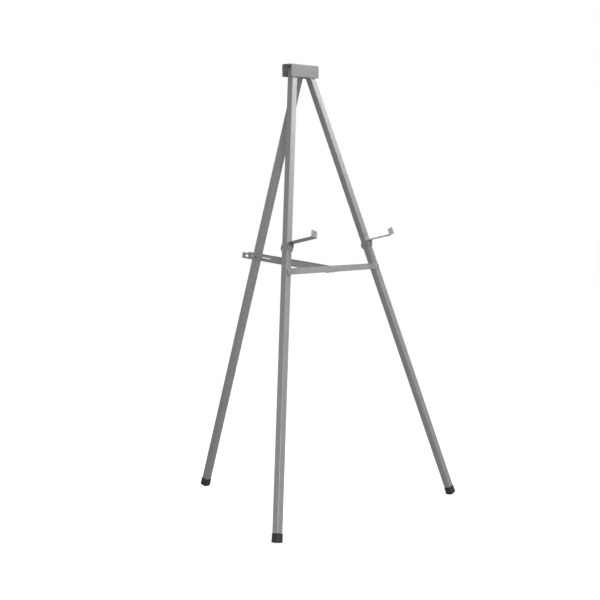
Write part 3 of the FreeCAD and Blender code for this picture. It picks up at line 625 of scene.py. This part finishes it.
def rivet(back: float, front: float, facing: Facing, tail: bool) -> Shell:
    """A round-headed rivet between two faces.

    Args:
        back: Where its shank starts.
        front: Where its head starts.
        facing: The direction that its head looks.
        tail: Whether it has a set end behind.

    Returns:
        The closed shell.
    """
    profile = [(0, back), (COMMON.shank, back)]
    if tail:
        low = back - COMMON.tail_height
        edge = COMMON.turned_edge
        profile = [(0, low)] + arc((COMMON.tail_radius - edge, low + edge), edge, -90, 0, 4)
        profile += [(COMMON.tail_radius, back), (COMMON.shank, back)]
    profile += [(COMMON.shank, front)] + cap_profile(COMMON.head_radius, COMMON.head_height, front)
    return turned(profile, facing)


def hexagon(flats: float) -> list[Point]:
    """A hexagon with a corner straight up."""
    return arc((0, 0), flats / math.sqrt(3), 90, 450, 6)[:-1]


def bolt(grip: float, facing: Facing) -> list[Shell]:
    """A hexagon bolt across the middle of its frame.

    Args:
        grip: From the middle to the underside of its head, and to its nut.
        facing: The direction that its head looks.

    Returns:
        Its head and its shank.
    """
    end = -grip - COMMON.hex_nut - COMMON.bolt_end
    chamfer = COMMON.thread_chamfer
    shank = [(0, end), (COMMON.shank - chamfer, end), (COMMON.shank, end + chamfer), (COMMON.shank, grip)]
    head = plate(hexagon(COMMON.hex_flats), grip, COMMON.hex_head, facing, edge=COMMON.hex_edge)
    return [head, turned(shank + [(0, grip)], facing)]


def nut(grip: float, facing: Facing) -> Shell:
    """The nut at the far end of a bolt."""
    start = -grip - COMMON.hex_nut
    bore = circle((0, 0), COMMON.bore)
    return plate(hexagon(COMMON.hex_flats), start, COMMON.hex_nut, facing, [bore], edge=COMMON.hex_edge)


def washer_pair(inner: float, length: float, facing: Facing) -> list[Shell]:
    """Two equal washers, one each side of the middle."""
    starts = (inner, -inner - length)
    return [washer(COMMON.washer_radius, COMMON.bore, start, length, facing) for start in starts]


# ---- Head ----------------------------------------------------------------------------


@dataclass
class Head:
    """The pressed channel over the three legs, and what holds the legs in it."""

    shop: Workshop
    rig: Rig
    bend: float = 2.4
    notch_half: float = 17.0
    notch_height: float = 29.0
    rivet_pitch: float = 22.0
    clevis_pitch: float = 11.0
    rivet_shank: float = 2.0
    rivet_head: float = 3.6
    rivet_height: float = 1.4
    tail_of_head: float = 0.85
    clevis_outer: float = 15.2
    running_gap: float = 0.3

    def build(self) -> None:
        """Build the head's pieces."""
        self.build_channel()
        self.build_rivets()
        self.build_rear_pivot()
        for side in Side:
            self.build_leg_pivot(side)
            self.shop.finishes.dress_node(f"{side.word}_leg_bracket", Stock.HEAD)
        self.shop.finishes.dress_node("rear_leg_clevis", Stock.HEAD)

    def build_channel(self) -> None:
        """Fold the channel, with the notch that the rear leg passes through."""
        low, high = (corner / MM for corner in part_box("head_channel"))
        bend = self.bend
        notch_top = low.z + self.notch_height
        path = [(low.y, low.z)]
        path += arc((low.y + bend, high.z - bend), bend, 180, 90, 5)
        path += arc((high.y - bend, high.z - bend), bend, 90, 0, 5)
        path += [(high.y, notch_top), (high.y, low.z)]

        def kept(middle: Vector) -> bool:
            """Whether the channel's sheet is there."""
            behind = middle.y > high.y - bend / 2
            return not (behind and abs(middle.x) < self.notch_half and middle.z < notch_top)

        stations = [low.x, -self.notch_half, self.notch_half, high.x]
        channel = folded(path, stations, COMMON.sheet, kept, corner=1.5)
        row = Matrix.Scale(MM, 4)
        self.shop.piece("head_cap", [channel], row, Stock.HEAD, "head", "head_channel")

    def build_rivets(self) -> None:
        """The six small rivets through the channel's top."""
        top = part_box("head_channel")[1].z / MM
        middle = (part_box("head_rivets")[0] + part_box("head_rivets")[1]) / 2 / MM
        spots = []
        for step in (-0.5, 0.5):
            for side in Side:
                pivot = self.rig.pivot(f"{side.word}_leg_fold") / MM
                spots.append((pivot.x + self.rivet_pitch * step, middle.y))
            spots.append((0.0, self.rig.rear_at.y / MM + self.clevis_pitch * step))
        shells = []
        under = top - 2 * COMMON.sheet
        tail = self.rivet_head * self.tail_of_head
        profile = [(0, under - self.rivet_height), (tail, under - self.rivet_height)]
        profile += [(tail, under), (self.rivet_shank, under), (self.rivet_shank, top)]
        profile += cap_profile(self.rivet_head, self.rivet_height, top)
        for x, y in spots:
            shell = turned(profile, Facing.UP)
            bmesh.ops.translate(shell, verts=shell.verts[:], vec=(x, y, 0))
            shells.append(shell)
        row = Matrix.Scale(MM, 4)
        self.shop.piece("head_rivet_set", shells, row, Stock.FASTENER, "head", "head_rivets")

    def build_leg_pivot(self, side: Side) -> None:
        """The rivet and washer that a front leg swings on."""
        near = COMMON.half_tube + self.running_gap
        back = -near - COMMON.sheet
        front = near + COMMON.washer_sheet
        place = self.rig.leg(side)
        pin = rivet(back, front, Facing.FRONT, tail=True)
        ring_shell = washer(COMMON.washer_radius, COMMON.bore, near, COMMON.washer_sheet, Facing.FRONT)
        word = side.word
        self.shop.piece(f"{word}_swing_rivet", [pin], place, Stock.FASTENER, "head", f"{word}_pivot_rivet")
        self.shop.piece(
            f"{word}_swing_washer", [ring_shell], place, Stock.FASTENER, "head", f"{word}_pivot_washer"
        )

    def build_rear_pivot(self) -> None:
        """The bolt, nut and washers that the rear leg swings on."""
        place = frame_at(self.rig.rear_at, self.rig.right, Vector((0, 0, 1)))
        grip = self.clevis_outer + COMMON.washer_sheet
        washers = washer_pair(self.clevis_outer, COMMON.washer_sheet, Facing.RIGHT)
        for name, shells, node in (
            ("rear_swing_bolt", bolt(grip, Facing.RIGHT), "rear_pivot_bolt"),
            ("rear_swing_nut", [nut(grip, Facing.RIGHT)], "rear_pivot_nut"),
            ("rear_swing_washers", washers, "rear_pivot_washers"),
        ):
            self.shop.piece(name, shells, place, Stock.FASTENER, "head", node)


# ---- Legs ----------------------------------------------------------------------------


@dataclass
class Leg:
    """One square tube leg in its rubber tip."""

    shop: Workshop
    place: Matrix
    run: float
    body: str
    stub: float = 14.0
    tip_lift: float = 3.2
    tip_floor: float = 6.0
    tip_height: float = 29.5
    tip_fit: float = 0.05
    tip_wall: float = 1.55
    tip_corner: float = 4.5
    tip_edge: float = 2.5
    lip_edge: float = 0.5

    def build(self) -> None:
        """Build the tube and its tip."""
        self.build_tube()
        self.build_tip()

    def build_tube(self) -> None:
        """Draw the tube from its stub above the pivot down into its tip."""
        bottom = self.tip_lift + self.tip_floor - self.run
        outside = rounded_square(COMMON.half_tube, COMMON.tube_corner)
        inside = rounded_square(COMMON.half_tube - COMMON.wall, COMMON.tube_corner - COMMON.wall)
        tube = plate(outside, bottom, self.stub - bottom, Facing.UP, [inside])
        body = self.body
        self.shop.piece(f"{body}_stock", [tube], self.place, Stock.TUBE, body, f"{body}_tube")

    def build_tip(self) -> None:
        """Mould the cup, rounded at its mouth and its base, and trim it flat on the floor."""
        low = self.tip_lift - self.run
        high = low + self.tip_height
        inside = COMMON.half_tube + self.tip_fit
        outside = inside + self.tip_wall
        sections = [
            (inside, COMMON.tube_corner, low + self.tip_floor),
            (inside, COMMON.tube_corner, high - self.lip_edge),
            (inside + self.lip_edge / 2, COMMON.tube_corner, high),
            (outside - self.lip_edge, self.tip_corner - self.lip_edge, high),
            (outside, self.tip_corner, high - self.lip_edge),
        ]
        for shrink, height in arc((0, 0), self.tip_edge, 0, 90, 6):
            inset = self.tip_edge - shrink
            sections.append((outside - inset, self.tip_corner - inset, low + self.tip_edge - height))
        cup = bmesh.new()
        rims = [ring(cup, rounded_square(half, corner, 6), at) for half, corner, at in sections]
        for upper, lower in zip(rims, rims[1:]):
            bmesh.ops.bridge_loops(cup, edges=upper + lower)
        bmesh.ops.contextual_create(cup, geom=rims[0])
        bmesh.ops.contextual_create(cup, geom=rims[-1])
        close_and_face_out(cup)
        self.trim_on_floor(cup)
        self.shop.piece(
            f"{self.body}_boot", [cup], self.place, Stock.RUBBER, self.body, f"{self.body}_tip"
        )

    def trim_on_floor(self, cup: Shell) -> None:
        """Cut a tip flat where it stands on the floor.

        Args:
            cup: The tip, in the leg's frame.
        """
        into_leg = self.place.inverted()
        floor_at = into_leg @ Vector((self.place.translation.x, self.place.translation.y, 0))
        downward = (into_leg.to_3x3() @ Vector((0, 0, -1))).normalized()
        whole = cup.verts[:] + cup.edges[:] + cup.faces[:]
        bmesh.ops.bisect_plane(cup, geom=whole, plane_co=floor_at, plane_no=downward, clear_outer=True)
        rim = [edge for edge in cup.edges if edge.is_boundary]
        bmesh.ops.holes_fill(cup, edges=rim, sides=0)
        bmesh.ops.recalc_face_normals(cup, faces=cup.faces[:])


# ---- Board hooks ---------------------------------------------------------------------


@dataclass
class Hook:
    """One board hook: the saddle on the leg and the arm that folds on it."""

    shop: Workshop
    rig: Rig
    side: Side
    sheet: float = 1.5
    ear_radius: float = 16.7
    lobe_radius: float = 4.2
    web_rise: float = 8.0
    web_gap: float = 0.3
    pin_lift: float = 11.8
    pin_radius: float = 1.6
    rivet_radius: float = 2.4
    head_radii: float = 1.7
    head_heights: float = 0.6
    tail_of_head: float = 0.8
    wrap_inner: float = 1.7
    heel_drop: float = 6.8
    blank_edge: float = 0.3
    arm_length: float = 111.0
    arm_half: float = 13.8
    root_half: float = 12.4
    root_front: float = 6.2
    lip_height: float = 25.0
    lip_bend: float = 1.5
    lip_corner: float = 2.5

    def build(self) -> None:
        """Build the hook's pieces."""
        self.build_saddle()
        self.build_pins()
        self.build_arm()

    def saddle_half(self) -> float:
        """Half the width across the saddle's ears."""
        return COMMON.half_tube + self.sheet

    def pin_front(self) -> float:
        """How far the hook pin is in front of the leg's axis."""
        across = self.rig.leg(self.side).inverted() @ self.rig.pivot(f"{self.side.word}_hook_fold")
        return -across.y

    def build_saddle(self) -> None:
        """The two round ears on the leg's sides, joined by a curved web across its front."""
        pin = (-self.pin_front(), self.pin_lift)
        holes = [circle((0, 0), self.rivet_radius), circle(pin, self.pin_radius)]
        ears = []
        for start in (COMMON.half_tube, -self.saddle_half()):
            ear = plate(self.ear_outline(pin), start, self.sheet, Facing.RIGHT, holes, self.blank_edge)
            ears.append(ear)
        half = self.saddle_half()
        inner = self.ear_radius - self.sheet
        top = 180 - self.web_rise
        foot = 180 + math.degrees(math.acos((COMMON.half_tube + self.web_gap) / inner))
        web = arc((0, 0), self.ear_radius, top, foot, 12) + arc((0, 0), inner, foot, top, 12)
        ears.append(plate(web, -half, 2 * half, Facing.RIGHT, edge=self.blank_edge))
        self.dress("saddle", ears, self.saddle_place(), Stock.HOOK, "leg", "hook_saddle")

    def ear_outline(self, pin: Point) -> list[Point]:
        """The rim of an ear: a large round with a small lobe about the pin, joined by tangents."""
        away = math.hypot(*pin)
        toward = math.degrees(math.atan2(pin[1], pin[0]))
        lean = math.degrees(math.acos((self.ear_radius - self.lobe_radius) / away))
        big = arc((0, 0), self.ear_radius, toward + lean, toward + 360 - lean, 48)
        small = arc(pin, self.lobe_radius, toward - lean, toward + lean, 14)
        return big + small

    def saddle_place(self) -> Matrix:
        """The saddle's frame: the leg's frame with its origin on the saddle rivet."""
        leg = self.rig.leg(self.side)
        pin = leg.inverted() @ self.rig.pivot(f"{self.side.word}_hook_fold")
        return leg @ Matrix.Translation((0, 0, pin.z - self.pin_lift))

    def build_pins(self) -> None:
        """The rivet through the saddle and the pin that the arm turns on."""
        half = self.saddle_half()
        for name, radius, place in (
            ("rivet", self.rivet_radius, self.saddle_place()),
            ("pin", self.pin_radius, self.rig.hook(self.side)),
        ):
            head = radius * self.head_radii
            height = radius * self.head_heights
            tail = head * self.tail_of_head
            profile = [(0, -half - height), (tail, -half - height), (tail, -half)]
            profile += [(radius, -half), (radius, half)] + cap_profile(head, height, half)
            self.dress(f"hook_{name}_turned", [turned(profile, Facing.RIGHT)], place, Stock.FASTENER,
                       "leg", f"hook_{name}")

    def build_arm(self) -> None:
        """Fold the arm: its heel, the wrap over the pin, the long flat and the lip."""
        outer = self.wrap_inner + self.sheet
        face = self.sheet - self.arm_length
        bend = self.lip_bend
        lip = outer + self.lip_height
        path = [(outer, -self.heel_drop)] + arc((0, 0), outer, 0, 90, 8)
        path.append((-self.root_front, outer))
        path += arc((face + bend, outer + bend), bend, 270, 180, 6)
        path.append((face, lip))

        def kept(middle: Vector) -> bool:
            """Whether the arm's sheet is there: narrow between the ears, wide beyond them."""
            return abs(middle.x) < self.root_half or middle.y < -self.root_front

        stations = [-self.arm_half, -self.root_half, self.root_half, self.arm_half]
        arm = folded(path, stations, self.sheet, kept, self.lip_corner)
        self.dress("arm_folded", [arm], self.rig.hook(self.side), Stock.HOOK, "hook", "hook_arm")

    def dress(
        self, name: str, shells: list[Shell], place: Matrix, stock: Stock, body: str, node: str
    ) -> None:
        """Make one of this hook's pieces.

        Args:
            name: The piece's name after the side.
            shells: Its closed shells.
            place: Its frame.
            stock: Its slot.
            body: The body that it rides on, after the side.
            node: The node that it stands for, after the side.
        """
        word = self.side.word
        self.shop.piece(f"{word}_{name}", shells, place, stock, f"{word}_{body}", f"{word}_{node}")


# ---- Folding brace -------------------------------------------------------------------


@dataclass
class FrontBrace:
    """The two links across the front, their knee, and the clip behind it."""

    shop: Workshop
    rig: Rig
    lift: float = 0.4
    left_tail: float = 24.0
    right_tail: float = 58.0
    tab_start: float = 30.0
    tab_length: float = 22.0
    tab_reach: float = 4.6
    tab_gap: float = 0.4
    head_gap: float = 0.3
    screw_gap: float = 0.3
    clip_web_back: float = 10.8

    def build(self) -> None:
        """Build the links, their screws and rivet, and dress the clip."""
        self.right_layer = COMMON.half_tube + self.lift
        self.left_layer = self.right_layer + COMMON.sheet + self.lift
        self.build_link(Side.LEFT, self.left_layer, self.left_tail, [])
        self.build_link(Side.RIGHT, self.right_layer, self.right_tail, [self.stop_tab()])
        spacer = washer(
            COMMON.washer_radius, COMMON.bore, self.right_layer, self.left_layer - self.right_layer,
            Facing.FRONT,
        )
        place = self.link_end(Side.LEFT)
        self.shop.piece(
            "left_link_washer", [spacer], place, Stock.FASTENER, "left_link", "left_link_spacer"
        )
        front = self.left_layer + COMMON.sheet + self.head_gap
        knee = rivet(self.clip_web_back, front, Facing.FRONT, tail=True)
        self.shop.piece("knee_turned", [knee], self.rig.knee(), Stock.FASTENER, "knee", "knee_rivet")
        self.shop.finishes.dress_node("knee_clip", Stock.HEAD)
        self.shop.finishes.dress_node("clip_pin", Stock.FASTENER)

    def link_end(self, side: Side) -> Matrix:
        """The knee's frame moved out to a link's outer end."""
        return self.rig.knee() @ Matrix.Translation((side.value * self.rig.link_span(), 0, 0))

    def build_link(self, side: Side, layer: float, tail: float, extras: list[Shell]) -> None:
        """Cut a link and set its screw.

        Args:
            side: Which leg its outer end is on.
            layer: Its back face, in front of the legs' plane.
            tail: How far it goes past the knee.
            extras: More shells that are part of the same link.
        """
        end = side.value * self.rig.link_span()
        outline = bar(end, -side.value * tail, COMMON.link_half, COMMON.link_corner)
        holes = [circle((end, 0), COMMON.bore), circle((0, 0), COMMON.bore)]
        link = plate(outline, layer, COMMON.sheet, Facing.FRONT, holes, edge=COMMON.flat_edge)
        word = side.word
        shells = [link] + extras
        self.shop.piece(
            f"{word}_link_bar", shells, self.rig.knee(), Stock.BRACE, f"{word}_link", f"{word}_brace_link"
        )
        screw = rivet(COMMON.half_tube + self.screw_gap, layer + COMMON.sheet, Facing.FRONT, tail=False)
        self.shop.piece(
            f"{word}_link_stud", [screw], self.link_end(side), Stock.FASTENER, f"{word}_link",
            f"{word}_link_screw",
        )

    def stop_tab(self) -> Shell:
        """The stop bent forward from the right link, under the left one."""
        low = -COMMON.link_half - self.tab_gap - COMMON.sheet
        bend = COMMON.sheet
        back = -self.right_layer
        front = back - COMMON.sheet - self.tab_reach
        path = [(back, -COMMON.link_half + COMMON.link_corner / 2)]
        path += arc((back - bend, low + bend), bend, 0, -90, 5)
        path.append((front, low))
        stations = [-self.tab_start - self.tab_length, -self.tab_start]
        return folded(path, stations, COMMON.sheet, lambda middle: True, corner=0.0)


@dataclass
class RearBrace:
    """The pair of slotted strips from the knee past the rear leg, and the bolt in their slots."""

    shop: Workshop
    rig: Rig
    strip_inner: float = 15.2
    running_gap: float = 0.3
    slot_radius: float = 3.75
    slot_spare_front: float = 15.0
    slot_spare_back: float = 42.0
    strip_end: float = 15.0

    def build(self) -> None:
        """Build the strips, their pins and the bolt with its washers."""
        strip_outer = self.strip_inner + COMMON.sheet
        starts = {Side.RIGHT: self.strip_inner, Side.LEFT: -strip_outer}
        for side, start in starts.items():
            self.build_strip(side, start)
        self.build_strip_pins(strip_outer)
        self.build_bolt(strip_outer)

    def build_strip(self, side: Side, start: float) -> None:
        """Cut one strip with its long slot.

        Args:
            side: Which strip.
            start: Its left face.
        """
        place = self.rig.strips()
        travel = self.rig.joints["brace_slide"]["range_m"][1] / MM
        bolt_now = (place.inverted() @ self.rig.brace_at).y
        slot_front = bolt_now - travel - self.slot_spare_front
        slot_back = bolt_now + self.slot_spare_back
        tail = slot_back + self.slot_radius + self.strip_end
        slot = arc((slot_back, 0), self.slot_radius, -90, 90, 12)
        slot += arc((slot_front, 0), self.slot_radius, 90, 270, 12)
        outline = bar(0, tail, COMMON.link_half, COMMON.link_corner)
        holes = [slot, circle((0, 0), COMMON.bore)]
        strip = plate(outline, start, COMMON.sheet, Facing.RIGHT, holes, edge=COMMON.flat_edge)
        word = side.word
        self.shop.piece(
            f"{word}_slotted_bar", [strip], place, Stock.BRACE, "brace_strips", f"{word}_brace_strip"
        )

    def build_strip_pins(self, strip_outer: float) -> None:
        """The two headed ends of the clip pin."""
        right = rivet(self.strip_inner, strip_outer, Facing.RIGHT, tail=False)
        left = rivet(self.strip_inner, strip_outer, Facing.RIGHT, tail=False)
        left.transform(Matrix.Rotation(math.pi, 4, "Z"))
        self.shop.piece(
            "strip_pin_heads", [right, left], self.rig.strips(), Stock.FASTENER, "brace_strips",
            "strip_pins",
        )

    def build_bolt(self, strip_outer: float) -> None:
        """The bolt through the rear leg and both slots, with its nut, washers and spacers."""
        place = self.rig.brace_bolt()
        washer_at = strip_outer + self.running_gap
        grip = washer_at + COMMON.washer_sheet
        spacer_at = COMMON.half_tube + self.running_gap
        spacer = self.strip_inner - self.running_gap - spacer_at
        washers = washer_pair(washer_at, COMMON.washer_sheet, Facing.RIGHT)
        spacers = washer_pair(spacer_at, spacer, Facing.RIGHT)
        for name, shells, node in (
            ("brace_hex_bolt", bolt(grip, Facing.RIGHT), "brace_bolt"),
            ("brace_hex_nut", [nut(grip, Facing.RIGHT)], "brace_nut"),
            ("brace_washer_pair", washers, "brace_washers"),
            ("brace_spacer_pair", spacers, "brace_spacers"),
        ):
            self.shop.piece(name, shells, place, Stock.FASTENER, "brace_bolt", node)


# ---- Studio --------------------------------------------------------------------------


@dataclass(frozen=True)
class Softbox:
    """A soft square light: where it hangs, what it looks at, its side and its power."""

    name: str
    at: tuple[float, float, float]
    aim: tuple[float, float, float]
    side: float
    watts: float


SOFTBOXES = (
    Softbox("key", (2.3, -1.6, 2.5), (0, 0, 1.3), 0.9, 11.0),
    Softbox("top", (0.3, -2.4, 5.2), (0, 0, 1.0), 1.5, 160.0),
    Softbox("fill", (-3.6, 3.6, 1.0), (0, 0, 0.4), 2.0, 8.0),
    Softbox("front", (-3.6, -3.6, 1.6), (0, 0, 1.0), 0.8, 90.0),
)


@dataclass
class Studio:
    """The pale floor, the soft lights and the camera."""

    camera_at: tuple[float, float, float] = (-3.888, -3.4236, 1.153)
    pitch: float = 85.538
    heading: float = -49.31
    lens: float = 84.6
    floor_half: float = 30.0
    floor_tone: float = 0.35
    floor_lift: float = 0.85
    bright_side: tuple[float, float, float] = (0.5, -0.4, 0.77)
    dim_level: float = 0.17
    bright_level: float = 0.52

    def build(self) -> None:
        """Set the whole stage."""
        self.build_camera()
        self.build_floor()
        self.build_world()
        for softbox in SOFTBOXES:
            self.hang(softbox)
        bpy.context.scene.view_settings.view_transform = "Standard"

    def build_camera(self) -> None:
        """The camera, at the height of the board."""
        data = bpy.data.cameras.new("camera")
        data.lens = self.lens
        data.sensor_width = 36.0
        data.clip_end = 200.0
        camera = bpy.data.objects.new("camera", data)
        camera.location = self.camera_at
        camera.rotation_euler = (math.radians(self.pitch), 0, math.radians(self.heading))
        bpy.context.scene.collection.objects.link(camera)
        bpy.context.scene.camera = camera

    def build_floor(self) -> None:
        """A pale floor that runs into the white behind it."""
        shell = bmesh.new()
        bmesh.ops.create_grid(shell, x_segments=1, y_segments=1, size=self.floor_half)
        mesh = bpy.data.meshes.new("floor")
        shell.to_mesh(mesh)
        shell.free()
        floor = bpy.data.objects.new("floor", mesh)
        bpy.context.scene.collection.objects.link(floor)
        material = bpy.data.materials.new("pale_floor")
        material.use_nodes = True
        nodes = material.node_tree.nodes
        link = material.node_tree.links.new
        shader = nodes["Principled BSDF"]
        shader.inputs["Base Color"].default_value = (self.floor_tone, self.floor_tone, self.floor_tone, 1)
        shader.inputs["Roughness"].default_value = 0.9
        shader.inputs["Specular IOR Level"].default_value = 0.0
        ray = nodes.new("ShaderNodeLightPath")
        lift = nodes.new("ShaderNodeMath")
        lift.operation = "MULTIPLY"
        lift.inputs[1].default_value = self.floor_lift
        link(ray.outputs["Is Camera Ray"], lift.inputs[0])
        glow = nodes.new("ShaderNodeEmission")
        link(lift.outputs["Value"], glow.inputs["Strength"])
        both = nodes.new("ShaderNodeAddShader")
        link(shader.outputs["BSDF"], both.inputs[0])
        link(glow.outputs["Emission"], both.inputs[1])
        link(both.outputs["Shader"], nodes["Material Output"].inputs["Surface"])
        mesh.materials.append(material)

    def build_world(self) -> None:
        """White behind the easel, and a softer grey that lights it."""
        world = bpy.data.worlds.new("studio")
        world.use_nodes = True
        bpy.context.scene.world = world
        nodes = world.node_tree.nodes
        link = world.node_tree.links.new
        light = nodes["Background"]
        light.inputs["Color"].default_value = (1, 1, 1, 1)
        look = nodes.new("ShaderNodeTexCoord")
        across = nodes.new("ShaderNodeVectorMath")
        across.operation = "DOT_PRODUCT"
        across.inputs[1].default_value = self.bright_side
        link(look.outputs["Generated"], across.inputs[0])
        level = nodes.new("ShaderNodeMapRange")
        level.inputs["From Min"].default_value = -1.0
        level.inputs["To Min"].default_value = self.dim_level
        level.inputs["To Max"].default_value = self.bright_level
        link(across.outputs["Value"], level.inputs["Value"])
        link(level.outputs["Result"], light.inputs["Strength"])
        seen = nodes.new("ShaderNodeBackground")
        seen.inputs["Color"].default_value = (1, 1, 1, 1)
        seen.inputs["Strength"].default_value = 1.0
        ray = nodes.new("ShaderNodeLightPath")
        mix = nodes.new("ShaderNodeMixShader")
        link(ray.outputs["Is Camera Ray"], mix.inputs["Fac"])
        link(light.outputs["Background"], mix.inputs[1])
        link(seen.outputs["Background"], mix.inputs[2])
        link(mix.outputs["Shader"], nodes["World Output"].inputs["Surface"])

    def hang(self, softbox: Softbox) -> None:
        """Hang one soft light.

        Args:
            softbox: The light's place and power.
        """
        data = bpy.data.lights.new(softbox.name, "AREA")
        data.size = softbox.side
        data.energy = softbox.watts
        lamp = bpy.data.objects.new(softbox.name, data)
        lamp.location = softbox.at
        lamp.visible_camera = False
        toward = Vector(softbox.aim) - Vector(softbox.at)
        lamp.rotation_euler = toward.to_track_quat("-Z", "Y").to_euler()
        bpy.context.scene.collection.objects.link(lamp)


def main() -> None:
    """Build the easel, sub-assembly by sub-assembly, and the stage round it."""
    shop = Workshop()
    rig = Rig()
    Head(shop, rig).build()
    for side in Side:
        place = rig.leg(side)
        Leg(shop, place, rig.run_to_floor(place), f"{side.word}_leg").build()
        shop.finishes.dress_node(f"{side.word}_leg_insert", Stock.FASTENER)
        Hook(shop, rig, side).build()
    rear = rig.rear_leg()
    Leg(shop, rear, rig.run_to_floor(rear), "rear_leg").build()
    FrontBrace(shop, rig).build()
    RearBrace(shop, rig).build()
    Studio().build()
    log.info("%d triangles", shop.triangles)


if __name__ == "__main__":
    main()
